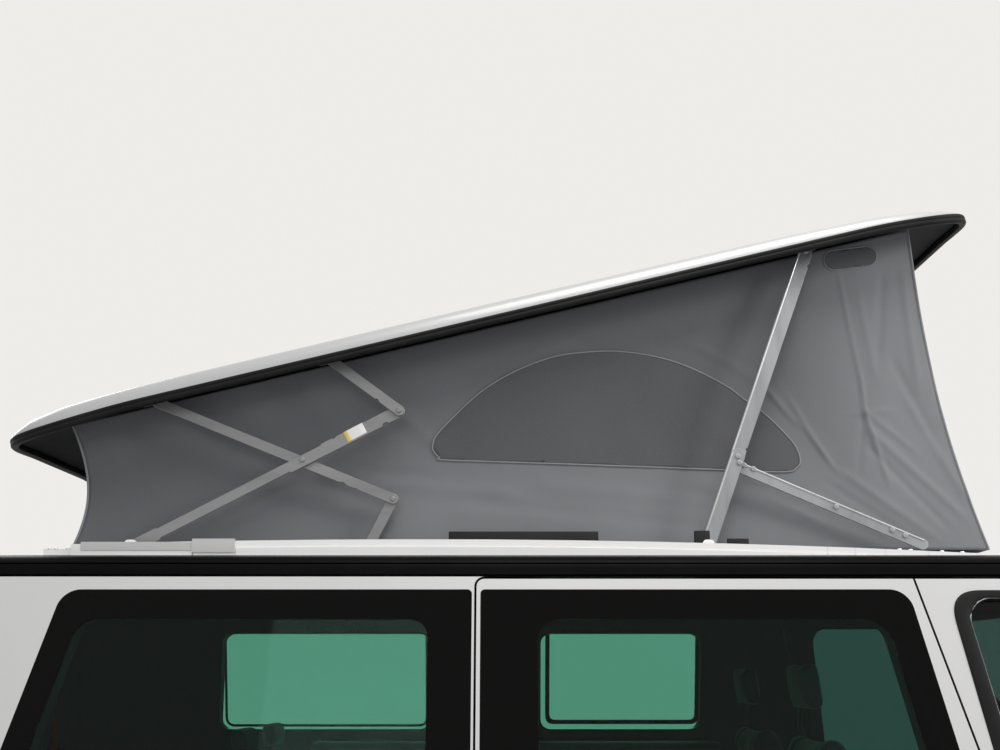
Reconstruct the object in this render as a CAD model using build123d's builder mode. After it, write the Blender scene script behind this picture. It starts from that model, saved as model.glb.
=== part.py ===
from build123d import *
import math
import os

# Camper van with a rear-hinged raising roof.
# Millimetres. +X points forward, +Y to the left, +Z up. The origin is on the ground below the middle of the
# van. The raising roof stands open, as the van is parked for the night.

os.makedirs("parts", exist_ok=True)

# overall body
body_half_width = 950
rear_face_x = -2425
nose_tip_x = 2428
sill_z = 290
belt_z = 1010
gutter_z = 1800
roof_z = 1890
roof_arch_radius = 40000
roof_arch_middle_x = -570
cabin_wall = 55
nose_wall = 45
glass_thickness = 5
panel_gap = 6
cut_reach = 1200

# running gear
front_axle_x = 1545
rear_axle_x = -1455
wheel_track_half = 814
tyre_radius = 343
tyre_width = 215
rim_radius = 203
arch_radius = 405
wheelhouse_radius = 443
kingpin_y = 690
axle_clearance = 0.3


def roof_line(x):
    """height of the arched roof at a station along the van"""
    return roof_z - (x - roof_arch_middle_x) ** 2 / (2 * roof_arch_radius)


def outline(plane, corners):
    """closed outline of straight runs, each corner given as its place and its radius"""
    bends = []
    for i, (x, y, radius) in enumerate(corners):
        corner = Vector(x, y)
        into = (corner - Vector(*corners[i - 1][:2])).normalized()
        out = (Vector(*corners[(i + 1) % len(corners)][:2]) - corner).normalized()
        half_turn = math.radians(into.get_angle(out)) / 2
        reach = radius * math.tan(half_turn)
        sagitta = radius / math.cos(half_turn) - radius
        middle = corner + (out - into).normalized() * sagitta
        bends.append((corner - into * reach, middle, corner + out * reach, radius))
    with BuildSketch(plane) as sketch:
        with BuildLine():
            for i, (start, middle, end, radius) in enumerate(bends):
                if (start - bends[i - 1][2]).length > 0.001:
                    Line(bends[i - 1][2], start)
                if radius > 0:
                    ThreePointArc(start, middle, end)
        make_face()
    return sketch.sketch


def mirrored(half):
    """half an outline, given for +Y, closed by its mirror image"""
    return half + [(-y, z, radius) for y, z, radius in reversed(half)]


def save(part, name):
    part.label = name
    export_step(part, "parts/" + name + ".step")


# The body's outer form and, with an inset, the inner face of its walls.
roof_rear_x = -2250
roof_front_x = 900
screen_base_z = 1105
screen_base_x = 1720
screen_lean = (-710, 0, 745)
belt_radius = 150


def cabin_mass(inset, bottom):
    """cabin: side view crossed with the cross-section, the windscreen's slope and the rounded rear corners"""
    rear = rear_face_x + inset
    arch_middle = (roof_rear_x + roof_front_x) / 2
    arch_slope = (roof_arch_middle_x - roof_rear_x) / roof_arch_radius
    arch_peak = roof_line(roof_rear_x) + arch_slope * (arch_middle - roof_rear_x)
    side_view = outline(
        Plane.XZ,
        [
            (rear, bottom, 0),
            (rear, belt_z, 2500),
            (rear + 75, gutter_z - 10 - inset, 90),
            (roof_rear_x + inset, roof_line(roof_rear_x) - inset, 150),
            (arch_middle, arch_peak - inset, roof_arch_radius * 0.9),
            (roof_front_x, roof_line(roof_front_x) - inset, 300),
            (roof_front_x + 175 - inset, roof_line(roof_front_x) - 45 - inset, 60),
            (1900, 1500, 0),
            (1900, 1000, 0),
            (1300, 1000, 0),
            (1300, bottom, 0),
        ],
    )
    section = outline(
        Plane.YZ,
        mirrored(
            [
                (body_half_width - 45 - inset, bottom, 0),
                (body_half_width - 45 - inset, sill_z, 0),
                (body_half_width - inset, 540, 300),
                (body_half_width - inset, belt_z, belt_radius),
                (body_half_width - 12 - inset, belt_z + 110, belt_radius),
                (765 - inset, 1852 - inset, 45),
                (690 - inset, 1866 - inset, 0),
                (300, roof_z + 20 - inset, 900),
            ]
        ),
    )
    screen_plan = outline(
        Plane.XY.offset(screen_base_z),
        [
            (-5000, -1000, 0),
            (1310 - inset, -1000, 0),
            (1420 - inset, inset + 10 - body_half_width, 60),
            (1620 - inset, inset - 780, 220),
            (screen_base_x - inset, 0, 2500),
            (1620 - inset, 780 - inset, 220),
            (1420 - inset, body_half_width - 10 - inset, 60),
            (1310 - inset, 1000, 0),
            (-5000, 1000, 0),
        ],
    )
    corner_rings = []
    # height, rear face, half width, corner radius
    for z, x, y, radius in (
        (bottom, rear_face_x - 1, body_half_width + 1, 150),
        (belt_z, rear_face_x - 1, body_half_width + 1, 150),
        (belt_z + 110, rear_face_x + 11, body_half_width - 11, 145),
        (roof_z + 10, rear_face_x + 84, 755, 115),
    ):
        corner = radius - inset / 2
        ring = [
            (x + inset, inset - y, corner),
            (2500, inset - y, 0),
            (2500, y - inset, 0),
            (x + inset, y - inset, corner),
        ]
        corner_rings.append(outline(Plane.XY.offset(z), ring))
    with BuildPart() as mass:
        extrude(side_view, amount=cut_reach, both=True)
        extrude(section, amount=3000, both=True, mode=Mode.INTERSECT)
        extrude(screen_plan, amount=2500, dir=screen_lean, both=True, mode=Mode.INTERSECT)
        loft(corner_rings, ruled=True, mode=Mode.INTERSECT)
    return mass.part


def nose_mass(inset, front_inset, bottom):
    """nose: bonnet line crossed with the cross-section, the shoulders and the plan of the front"""
    front = nose_tip_x - front_inset
    side_view = outline(
        Plane.XZ,
        [
            (1250, bottom, 0),
            (front - 23, bottom, 0),
            (front, 560, 400),
            (front - 28, 790, 110),
            (front - 138, 930 - inset, 330),
            (screen_base_x, screen_base_z - inset, 0),
            (1600, 1142 - inset, 0),
            (1250, 1142 - inset, 0),
        ],
    )
    section = outline(
        Plane.YZ,
        mirrored(
            [
                (body_half_width - 45 - inset, bottom, 0),
                (body_half_width - 45 - inset, sill_z, 0),
                (body_half_width - inset, 540, 300),
                (body_half_width - inset, belt_z, belt_radius),
                (body_half_width - 12 - inset, belt_z + 110, belt_radius),
                (900 - inset, 1300, 0),
            ]
        ),
    )
    shoulders = outline(
        Plane.YZ.offset(screen_base_x),
        [
            (0, 1150 - inset, 3000),
            (700, 1105 - inset, 160),
            (942 - inset, 860 - inset, 200),
            (960 - inset, 500, 0),
            (960 - inset, -500, 0),
            (inset - 960, -500, 0),
            (inset - 960, 500, 0),
            (inset - 942, 860 - inset, 200),
            (-700, 1105 - inset, 160),
        ],
    )
    plan = outline(
        Plane.XY.offset(bottom),
        [
            (1250, -1000, 0),
            (1250, 1000, 0),
            (1500, 1000, 0),
            (1500, 952 - inset, 0),
            (2000, 948 - inset, 500),
            (front - 33, 640, 260),
            (front + 2, 0, 3000),
            (front - 33, -640, 260),
            (2000, inset - 948, 500),
            (1500, inset - 952, 0),
            (1500, -1000, 0),
        ],
    )
    with BuildPart() as mass:
        extrude(side_view, amount=cut_reach, both=True)
        extrude(section, amount=3000, both=True, mode=Mode.INTERSECT)
        extrude(plan, amount=cut_reach, mode=Mode.INTERSECT)
        extrude(shoulders, amount=1500, dir=(570, 0, -175), both=True, mode=Mode.INTERSECT)
    return mass.part


def side_prism(corners, side, lean=0):
    """prism through one side wall; side is -1 right or 1 left, lean shifts it forward inwards"""
    with BuildPart() as prism:
        extrude(outline(Plane.XZ, corners), amount=cut_reach, dir=(0, side, 0))
    if lean == 0:
        return prism.part
    with BuildPart() as leaning:
        extrude(outline(Plane.XZ.offset(-side * body_half_width), corners), amount=cut_reach,
                dir=(lean, -side, 0), both=True)
        add(prism.part, mode=Mode.INTERSECT)
    return leaning.part


def through_y(corners):
    """prism through the whole width"""
    with BuildPart() as prism:
        extrude(outline(Plane.XZ, corners), amount=cut_reach, both=True)
    return prism.part


def along_x(corners, x0, x1):
    """prism along the van, its outline given across it"""
    with BuildPart() as prism:
        extrude(outline(Plane.YZ.offset(x0), corners), amount=x1 - x0)
    return prism.part


def along_z(corners, z0, z1):
    """upright prism, its outline given in plan"""
    with BuildPart() as prism:
        extrude(outline(Plane.XY.offset(z0), corners), amount=z1 - z0)
    return prism.part


def block(x0, x1, y0, y1, z0, z1, edge=0):
    """plain block with its upright edges rounded"""
    return along_z([(x0, y0, edge), (x1, y0, edge), (x1, y1, edge), (x0, y1, edge)], z0, z1)


def rod(start, end, radius):
    """round bar between two points"""
    axis = Plane(origin=start, z_dir=Vector(*end) - Vector(*start))
    with BuildPart() as bar:
        with BuildSketch(axis):
            Circle(radius)
        extrude(amount=(Vector(*end) - Vector(*start)).length)
    return bar.part


def carve(base, keep=(), remove=(), join=()):
    """a piece of a larger form: kept inside some regions, cut by others, joined to what it carries"""
    with BuildPart() as piece:
        add(base)
        for region in keep:
            add(region, mode=Mode.INTERSECT)
        for region in remove:
            add(region, mode=Mode.SUBTRACT)
        for extra in join:
            add(extra)
    return piece.part


nose_outer = nose_mass(0, 0, 150)
outer = cabin_mass(0, 150) + nose_outer
room = cabin_mass(cabin_wall, 50) + nose_mass(nose_wall, nose_wall, 50)
shell = outer - room
glass_layer = cabin_mass(0, 700) - cabin_mass(glass_thickness, 650)
recess_depth = 6
recess_core = cabin_mass(recess_depth, 350)  # what is left under a shallow recess of the skin

# Openings of the body, each outline given as x, z, corner radius.
window_top_z = 1766
window_base_z = 1065
clear_top_z = 1688
clear_base_z = 1130
left_clear_base_z = 1350
seam_rear_x = -676
door_top_z = 1794
door_base_z = 330
seam_lean = 0.25
seam_top_x = 464
seam_belt_x = 626
door_front_x = 1420
hinge_x = 1385
hinge_y = 915
pillar_top_x = 870
pillar_base_z = 1150


def side_half(side):
    """the half of all space on one side of the van's middle"""
    return block(-3000, 3000, min(0, side * cut_reach), max(0, side * cut_reach), 0, 2500)


def grown(corners, gap, side, lean=0):
    """side prism of an outline made larger all round by a gap"""
    with BuildPart() as prism:
        with BuildSketch(Plane.XZ.offset(-side * body_half_width)):
            add(outline(Plane.XY, corners))
            offset(amount=gap, kind=Kind.INTERSECTION)
        extrude(amount=cut_reach, dir=(lean, -side, 0), both=True)
        add(side_half(side), mode=Mode.INTERSECT)
    return prism.part


sliding_door_outline = [
    (seam_rear_x, door_base_z, 40),
    (seam_belt_x + 200, door_base_z, 0),
    (seam_belt_x + 200, door_top_z, 0),
    (seam_rear_x, door_top_z, 20),
]
front_door_outline = [
    (seam_top_x - 100, door_base_z, 0),
    (door_front_x, door_base_z, 0),
    (door_front_x, pillar_base_z, 60),
    (pillar_top_x, door_top_z, 40),
    (seam_top_x - 100, door_top_z, 0),
]


def behind_seam(gap, side):
    """everything behind the seam of the front door, which leans so that the door swings clear"""
    return side_prism(
        [
            (-3000, 0, 0),
            (seam_belt_x + gap, 0, 0),
            (seam_belt_x + gap, 1100, 200),
            (seam_top_x + gap, door_top_z, 0),
            (seam_top_x + gap - 160, 2480, 0),
            (-3000, 2480, 0),
        ],
        side,
        seam_lean,
    )


def sliding_door_space(gap):
    return carve(grown(sliding_door_outline, gap, -1), keep=[behind_seam(gap, -1)])


def front_door_space(gap, side):
    return carve(grown(front_door_outline, gap, side), remove=[behind_seam(panel_gap - gap, side)])


rear_glass_outline = [
    (-1920, window_base_z, 60),
    (seam_rear_x - 12, window_base_z, 12),
    (seam_rear_x - 12, window_top_z, 12),
    (-1753, window_top_z, 60),
]
rear_clear_outline = [
    (-1835, clear_base_z, 50),
    (-800, clear_base_z, 50),
    (-800, clear_top_z, 50),
    (-1702, clear_top_z, 50),
]
sliding_glass_outline = [
    (seam_rear_x + 10, window_base_z, 12),
    (573, window_base_z, 60),
    (448, window_top_z, 60),
    (seam_rear_x + 10, window_top_z, 12),
]
sliding_clear_outline = [
    (-520, clear_base_z, 50),
    (480, clear_base_z, 50),
    (382, clear_top_z, 70),
    (-520, clear_top_z, 50),
]
left_rear_clear_outline = [
    (-1712, left_clear_base_z, 40),
    (-890, left_clear_base_z, 40),
    (-890, clear_top_z + 30, 40),
    (-1690, clear_top_z + 30, 40),
]
left_mid_clear_outline = [
    (-457, left_clear_base_z, 40),
    (165, left_clear_base_z, 40),
    (165, clear_top_z + 30, 40),
    (-457, clear_top_z + 30, 40),
]
door_glass_outline = [
    (688, 1085, 40),
    (1362, 1085, 30),
    (1362, 1165, 30),
    (878, 1742, 60),
    (590, 1742, 60),
]

# Openings seen from the ends, the left half given as y, z, corner radius.
tailgate_outline = mirrored([(720, 556, 60), (720, 1200, 100), (672, 1900, 0)])
tail_window_outline = mirrored([(610, 1130, 60), (572, 1700, 70)])
screen_outline = mirrored([(805, 1150, 90), (672, 1795, 110)])
screen_clear_outline = mirrored([(755, 1200, 80), (632, 1745, 90)])


def wheel_space(axle_x, radius, y0, y1):
    """upright disc of space round a wheel, between two distances from the van's middle"""
    with BuildPart() as space:
        with BuildSketch(Plane.XZ.offset(-y1)):
            with Locations((axle_x, tyre_radius)):
                Circle(radius)
        extrude(amount=y1 - y0)
    return space.part


def both_sides(part):
    """a part given on the left, with its mirror image on the right"""
    return part + mirror(part, about=Plane.XZ)


arches = both_sides(wheel_space(front_axle_x, arch_radius, 600, 1100)) + both_sides(
    wheel_space(rear_axle_x, arch_radius, 600, 1100)
)
door_wheel_cut = both_sides(wheel_space(front_axle_x, wheelhouse_radius + 19, 600, 1100))
hinge_pocket_radius = 54
hinge_pockets = both_sides(
    rod((hinge_x, hinge_y, 300), (hinge_x, hinge_y, pillar_base_z + 30), hinge_pocket_radius)
)

# Tailgate, with its hinge line below the roof's rear edge.
tail_hinge_x = -2275
tail_hinge_z = 1835
tail_cut_x = -2600
tail_front_x = -2300
tail_top_front_x = -2268


def tailgate_depth(gap):
    """side view of the space that the tailgate fills, larger to the front by the gap"""
    return through_y(
        [
            (tail_cut_x, 300, 0),
            (tail_front_x + gap, 300, 0),
            (tail_front_x + gap, 1780, 0),
            (tail_top_front_x + gap, 1800 - gap * 0.7, 0),
            (tail_top_front_x + gap, 1950, 0),
            (tail_cut_x, 1950, 0),
        ]
    )


tailgate_region = along_x(tailgate_outline, tail_cut_x, -2200)
with BuildPart() as tailgate_space:
    with BuildSketch(Plane.YZ.offset(tail_cut_x)):
        add(outline(Plane.XY, tailgate_outline))
        offset(amount=panel_gap, kind=Kind.INTERSECTION)
    extrude(amount=400)
    add(tailgate_depth(panel_gap), mode=Mode.INTERSECT)
tail_pocket = rod((tail_hinge_x, -740, tail_hinge_z), (tail_hinge_x, 740, tail_hinge_z), 25)
tail_window = along_x(tail_window_outline, -2600, -2250)
rear_glass_layer = cabin_mass(2, 700) - cabin_mass(2 + glass_thickness, 650)

plate_recess = carve(
    block(-2600, -2300, -285, 285, 650, 800),
    keep=[outer],
    remove=[recess_core],
)
tail_grip = carve(
    cabin_mass(-14, 400),
    keep=[block(-2600, -2380, -240, 240, 812, 842)],
    remove=[recess_core],
)
tailgate = carve(
    shell,
    keep=[tailgate_region, tailgate_depth(0)],
    remove=[tail_window, plate_recess],
    join=[tail_grip],
)
save(tailgate, "tailgate")
tailgate_glass = carve(rear_glass_layer, keep=[tail_window, block(-2600, -2250, -800, 800, 1000, 1750)])
save(tailgate_glass, "tailgate_glass")

# Sides, split from the front end along the windscreen pillar, and from the roof at the gutter.
rear_bumper_front_x = -2080
bumper_top_z = 545
front_region = through_y(
    [
        (pillar_top_x - 10, gutter_z, 0),
        (door_front_x - 16, pillar_base_z - 16, 0),
        (door_front_x - 16, 100, 0),
        (3000, 100, 0),
        (3000, gutter_z, 0),
    ]
)
lamp_region = both_sides(block(-2500, -2325, 742, 1000, 900, 1400))
below_gutter = block(-3000, 3000, -1200, 1200, sill_z, gutter_z)
rear_bumper_space = block(-3000, rear_bumper_front_x, -1200, 1200, 0, bumper_top_z)

door_rail_groove = block(-1960, seam_rear_x, -1200, 16 - body_half_width, 968, 992)
window_sets = {
    "right": (
        -1,
        [rear_glass_outline],
        [rear_clear_outline],
        [sliding_door_space(panel_gap)],
    ),
    "left": (
        1,
        [rear_glass_outline, sliding_glass_outline],
        [left_rear_clear_outline, left_mid_clear_outline],
        [],
    ),
}
panes = []
for name, (side, glasses, clears, doors) in window_sets.items():
    rail_grooves = [door_rail_groove] if side < 0 else []
    glass_regions = [side_prism(corners, side) for corners in glasses]
    for region in glass_regions:
        panes.append(carve(glass_layer, keep=[region]))
    panel = carve(
        shell,
        keep=[side_half(side), below_gutter],
        remove=[
            front_region,
            arches,
            rear_bumper_space,
            tailgate_space.part,
            lamp_region,
            block(-2400, -2150, -660, 660, 200, 1900),
            front_door_space(panel_gap, side),
            *doors,
            *rail_grooves,
            *panes,
            *[side_prism(corners, side) for corners in clears],
        ],
    )
    save(panel, "side_" + name)

handle_z = 968
handle_length = 190
handle_reach = 24


def door_handle(middle_x, side):
    """pull handle: a bar on two short posts, standing off the door"""
    with BuildPart() as handle:
        with BuildSketch(Plane.XZ.offset(-side * (body_half_width + handle_reach))):
            with Locations((middle_x, handle_z)):
                RectangleRounded(handle_length, 34, 12)
        extrude(amount=side * 12)
        with BuildSketch(Plane.XZ.offset(-side * (body_half_width + handle_reach - 6))):
            with Locations((middle_x, handle_z)):
                with GridLocations(handle_length - 44, 0, 2, 1):
                    RectangleRounded(26, 24, 8)
        extrude(amount=side * (handle_reach + 8))
    return handle.part


sliding_door = carve(
    shell,
    keep=[sliding_door_space(0)],
    remove=[
        carve(glass_layer, keep=[side_prism(sliding_glass_outline, -1)]),
        side_prism(sliding_clear_outline, -1),
    ],
    join=[door_handle(430, -1)],
)
save(sliding_door, "sliding_door")
panes.append(carve(glass_layer, keep=[side_prism(sliding_glass_outline, -1)]))
side_windows = panes[0]
for pane in panes[1:]:
    side_windows = side_windows + pane
save(side_windows, "side_windows")

# Front doors, hung on upright hinges; panes set back from the skin.
door_pane_depth = 14
door_glass_layer = cabin_mass(door_pane_depth, 700) - cabin_mass(door_pane_depth + glass_thickness, 650)
mirror_x = 1335
mirror_z = 1185


def front_door(side):
    return carve(
        shell,
        keep=[front_door_space(0, side)],
        remove=[door_wheel_cut, side_prism(door_glass_outline, side)],
        join=[door_handle(770, side)],
    )


def wing_mirror(side):
    """mirror housing with a rounded, tapering shell and its foot on the door"""
    with BuildPart() as housing:
        with BuildSketch(Plane.YZ.offset(mirror_x + 55)):
            with Locations((side * 1060, mirror_z)):
                RectangleRounded(130, 180, 45)
        with BuildSketch(Plane.YZ.offset(mirror_x - 40)):
            with Locations((side * 1060, mirror_z)):
                RectangleRounded(170, 230, 40)
        loft(ruled=True)
        with BuildSketch(Plane.YZ.offset(mirror_x - 44)):
            with Locations((side * 1060, mirror_z)):
                RectangleRounded(154, 214, 34)
        extrude(amount=14, mode=Mode.SUBTRACT)
        with BuildSketch(Plane.YZ.offset(mirror_x - 30)):
            with Locations((side * 1060, mirror_z)):
                RectangleRounded(148, 208, 32)
        extrude(amount=-5)
        foot_end = side * 905
        with BuildSketch(Plane.XZ.offset(-foot_end)):
            with Locations((mirror_x, mirror_z - 75)):
                RectangleRounded(90, 56, 20)
        extrude(amount=-side * 110)
    return housing.part


for name, side in (("left", 1), ("right", -1)):
    door = front_door(side)
    save(door, "door_" + name)
    save(carve(door_glass_layer, keep=[side_prism(door_glass_outline, side)]), "door_glass_" + name)
    save(carve(wing_mirror(side), remove=[outer]), "mirror_" + name)

# Front end: pillars, header and cowl in one frame, then the wings, bonnet, nose, grille and lamps.
bonnet_rear_x = 1740
bonnet_hinge_x = 1755
bonnet_hinge_z = 1065
bonnet_side_rear_y = 700
bonnet_side_front_y = 560
nose_seam_x = 2235
front_bumper_top_z = 620
front_bumper_rear_x = 1990
grille_half_width = 540
grille_low_z = 740
grille_high_z = 885
lamp_inner_y = 566
lamp_low_z = 735
lamp_high_z = 895


def bonnet_space(gap):
    """plan and side view of the bonnet, larger by the gap"""
    plan = along_z(
        [
            (bonnet_rear_x - gap, -bonnet_side_rear_y - gap, 0),
            (2500, -bonnet_side_front_y - gap + 30, 0),
            (2500, bonnet_side_front_y + gap - 30, 0),
            (bonnet_rear_x - gap, bonnet_side_rear_y + gap, 0),
        ],
        700,
        1300,
    )
    side_view = through_y(
        [
            (bonnet_rear_x - gap, 950, 0),
            (2285 + gap, 760 - gap, 0),
            (2350 + gap, 900 - gap, 0),
            (2450 + gap, 1150, 0),
            (bonnet_rear_x - gap, 1300, 0),
        ]
    )
    return carve(plan, keep=[side_view])


screen_prism = along_x(screen_outline, 900, 1800)
screen_clear = along_x(screen_clear_outline, 900, 1800)
windscreen = carve(glass_layer, keep=[screen_prism])
save(windscreen, "windscreen")
bonnet = carve(shell, keep=[bonnet_space(0), nose_outer])
save(bonnet, "bonnet")
bonnet_pocket_radius = 45
bonnet_pocket = rod(
    (bonnet_hinge_x, -720, bonnet_hinge_z), (bonnet_hinge_x, 720, bonnet_hinge_z), bonnet_pocket_radius
)

lamp_outline = [
    (lamp_inner_y, lamp_low_z, 25),
    (940, lamp_low_z + 60, 30),
    (940, lamp_high_z + 40, 20),
    (lamp_inner_y, lamp_high_z, 25),
]
headlamp_region = carve(both_sides(along_x(lamp_outline, 2150, 2600)), remove=[bonnet_space(panel_gap)])
grille_rear_x = 2352
grille_region = along_x(
    [
        (-grille_half_width, grille_low_z, 20),
        (grille_half_width, grille_low_z, 20),
        (grille_half_width, grille_high_z, 20),
        (-grille_half_width, grille_high_z, 20),
    ],
    grille_rear_x,
    2600,
)
door_spaces = [front_door_space(panel_gap, 1), front_door_space(panel_gap, -1)]
cowl_z = 1114
cowl_half_width = bonnet_side_rear_y + 12
cowl_space = block(1250, bonnet_rear_x - panel_gap, -cowl_half_width, cowl_half_width, 900, cowl_z)
arch_strip_radius = 446
arch_strip = carve(
    shell,
    keep=[
        both_sides(wheel_space(front_axle_x, arch_strip_radius, 600, 1100)),
        block(1000, hinge_x + hinge_pocket_radius + 2, -1200, 1200, door_base_z, 800),
    ],
    remove=[arches],
)
front_wings = carve(
    shell,
    keep=[
        both_sides(
            block(door_front_x + panel_gap, nose_seam_x, bonnet_side_front_y - 40, 1200, sill_z, cowl_z)
        ),
    ],
    remove=[
        bonnet_space(panel_gap),
        cowl_space,
        bonnet_pocket,
        arches,
        hinge_pockets,
        headlamp_region,
        block(front_bumper_rear_x - 1, 3000, -1200, 1200, 0, front_bumper_top_z + 4),
    ],
    join=[arch_strip],
)
save(front_wings, "front_wings")
cab_zone = block(930, 3000, -1200, 1200, gutter_z, 2500) + carve(
    front_region, remove=[block(1000, 3000, -1200, 1200, 0, cowl_z)], join=[cowl_space]
)
cab_frame = carve(
    shell,
    keep=[cab_zone],
    remove=[
        windscreen,
        screen_clear,
        bonnet_space(panel_gap),
        bonnet_pocket,
        block(1250, 1600, -1200, 1200, 900, 1085),
        hinge_pockets,
        *door_spaces,
    ],
)
save(cab_frame, "cab_frame")
nose_panel = carve(
    shell,
    keep=[block(nose_seam_x, 2600, -1200, 1200, front_bumper_top_z + 4, lamp_high_z - 10)],
    remove=[bonnet_space(panel_gap), grille_region, headlamp_region],
)
save(nose_panel, "nose_panel")

# Lamps: a clear lens on a closed bowl.
lens_thickness = 6
lens_core = nose_mass(lens_thickness, lens_thickness, 250)
headlamp_lenses = carve(nose_outer, keep=[headlamp_region], remove=[lens_core])


cup_rear_x = 2272
cup_front_x = 2420
cup_wall = 6
cup_rows = [(634, 815, 58), (752, 838, 46)]  # distance from the middle, height, radius


def reflectors(wall):
    """the round cups of both headlamps, open to the front, larger by their wall"""
    with BuildPart() as cups:
        for y, z, radius in cup_rows:
            with BuildSketch(Plane.YZ.offset(cup_rear_x - wall)):
                with Locations((y, z)):
                    Circle(radius * 0.45 + wall)
            with BuildSketch(Plane.YZ.offset(cup_front_x)):
                with Locations((y, z)):
                    Circle(radius + wall)
            loft(ruled=True)
    return both_sides(cups.part)


headlamp_bowls = carve(
    carve(lens_core, remove=[room]) + carve(reflectors(cup_wall), keep=[lens_core]),
    keep=[headlamp_region],
    remove=[reflectors(0)],
)
save(headlamp_lenses, "headlamp_lenses")
save(headlamp_bowls, "headlamp_bowls")
lamp_grooves = carve(
    outer,
    keep=[block(-2600, -2300, -1200, 1200, 1026, 1034) + block(-2600, -2300, -1200, 1200, 1146, 1154)
          + block(-2600, -2300, -1200, 1200, 1266, 1274)],
    remove=[recess_core],
)
tail_lamps = carve(shell, keep=[lamp_region], remove=[tailgate_space.part, lamp_grooves])
save(tail_lamps, "tail_lamps")

# Grille: level bars on upright ribs, set back from the nose.
grille_bar_height = 13
grille_bar_pitch = 33
grille_bars = 4
grille_layer = nose_mass(8, 8, 300) - nose_mass(nose_wall - 8, nose_wall - 8, 250)
grille_fit = 1
grille_rib_width = 22
bar_half_length = grille_half_width - grille_fit
rib_y = bar_half_length - grille_rib_width / 2
with BuildPart() as grille_bars_space:
    for y in (-rib_y, -180, 180, rib_y):
        add(block(2000, 2600, y - grille_rib_width / 2, y + grille_rib_width / 2,
                  grille_low_z + grille_fit, grille_high_z - grille_fit))
    for i in range(grille_bars):
        bar_z = grille_low_z + 15 + i * grille_bar_pitch
        add(block(2000, 2600, -bar_half_length, bar_half_length, bar_z, bar_z + grille_bar_height))
grille = carve(grille_layer, keep=[grille_bars_space.part, grille_region])
save(grille, "grille")

# Bumpers: the body's own form brought forward and back, hollow behind.
bumper_reach = 22
bumper_wall = 25
bumper_low_z = 225
fog_lamp_radius = 46
bumper_form = nose_mass(0, -bumper_reach, 150)
bumper_inside = nose_mass(bumper_wall, bumper_wall - bumper_reach, 100)
bumper_core = nose_mass(recess_depth, recess_depth - bumper_reach, 100)
fog_lamp_rods = both_sides(rod((2200, 660, 400), (2600, 660, 400), fog_lamp_radius))
front_bumper = carve(
    bumper_form - bumper_inside,
    keep=[block(front_bumper_rear_x, 2600, -1200, 1200, bumper_low_z, front_bumper_top_z)],
    remove=[
        along_x([(-430, 330, 20), (430, 330, 20), (430, 470, 20), (-430, 470, 20)], 2200, 2600),
        carve(bumper_form, keep=[block(2300, 2600, -265, 265, 484, 602)], remove=[bumper_core]),
        carve(fog_lamp_rods, remove=[bumper_core]),
    ],
)


def tail_plan(inset):
    rear = rear_face_x - bumper_reach + inset
    return along_z(
        [
            (rear, inset - body_half_width - 2, 170),
            (-1700, inset - body_half_width - 2, 0),
            (-1700, body_half_width + 2 - inset, 0),
            (rear, body_half_width + 2 - inset, 170),
        ],
        150,
        700,
    )


rear_bumper = carve(
    tail_plan(0) - tail_plan(bumper_wall),
    keep=[block(-2600, rear_bumper_front_x - 1, -1200, 1200, bumper_low_z + 15, bumper_top_z)],
)
bumpers = front_bumper + rear_bumper
save(bumpers, "bumpers")

# Roof panel with the hatch the tent stands round, and the black gutters at its edges.
gutter_inner_y = 692
hatch_rear_x = -1780
hatch_front_x = 715
hatch_half_width = 545
above_gutter = block(-3000, 928, -1200, 1200, gutter_z, 2500)
roof_middle = block(-3000, 928, -gutter_inner_y, gutter_inner_y, gutter_z, 2500)
hatch = block(hatch_rear_x, hatch_front_x, -hatch_half_width, hatch_half_width, 1700, 2500, 90)
link_tray_depth = 34
tray_reach = 3000 - roof_arch_middle_x
tray_end_z = roof_line(3000) - link_tray_depth
tray_floor = through_y(
    [
        (roof_arch_middle_x + tray_reach, 1500, 0),
        (roof_arch_middle_x + tray_reach, tray_end_z, 0),
        (roof_arch_middle_x, tray_end_z + tray_reach ** 2 / roof_arch_radius, roof_arch_radius),
        (roof_arch_middle_x - tray_reach, tray_end_z, 0),
        (roof_arch_middle_x - tray_reach, 1500, 0),
    ]
)
link_tray = both_sides(block(-1765, 735, 600, 652, 1700, 2500, 20)) - tray_floor
roof_panel = carve(shell, keep=[roof_middle], remove=[hatch, link_tray, tailgate_space.part, tail_pocket])
save(roof_panel, "roof_panel")
gutter_groove_rows = [(1834, 1838), (1801, 1806)]  # lower and upper edge
gutter_grooves = carve(
    both_sides(
        block(-3000, 3000, 700, 1200, *gutter_groove_rows[0])
        + block(-3000, 3000, 700, 1200, *gutter_groove_rows[1])
    ),
    remove=[recess_core],
)
gutters = carve(
    shell,
    keep=[above_gutter],
    remove=[roof_middle, tailgate_space.part, tail_pocket, gutter_grooves],
)
save(gutters, "gutters")

# Roof rails: open channels that carry the links' feet; their lower edge is cut to the roof.
rail_inner_y = 655
rail_outer_y = 690
rail_rear_x = -1775
rail_front_x = 745
rail_top_z = 1907
rail_top_x = -887
rail_radius = 34700


def rail_line(x):
    """height of the rail's top edge at a station along the van"""
    return rail_top_z - (x - rail_top_x) ** 2 / (2 * rail_radius)


rail_curve = [
    (rail_rear_x, 1800, 0),
    (rail_front_x, 1800, 0),
    (rail_front_x, rail_line(rail_front_x), 0),
    ((rail_rear_x + rail_front_x) / 2, rail_line((rail_rear_x + rail_front_x) / 2) + 22, 30000),
    (rail_rear_x, rail_line(rail_rear_x), 0),
]
rail_lip_rear_x = -1331
rail_lip_drop = 18
rail_step = 4
rail_seam_width = 3
rail_seams = [-1447, rail_lip_rear_x, 269, 344, 425, 542]
rail_end_rear_x = -1854
rail_end_outer_y = 676
rail_end_top_z = 1884


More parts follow.
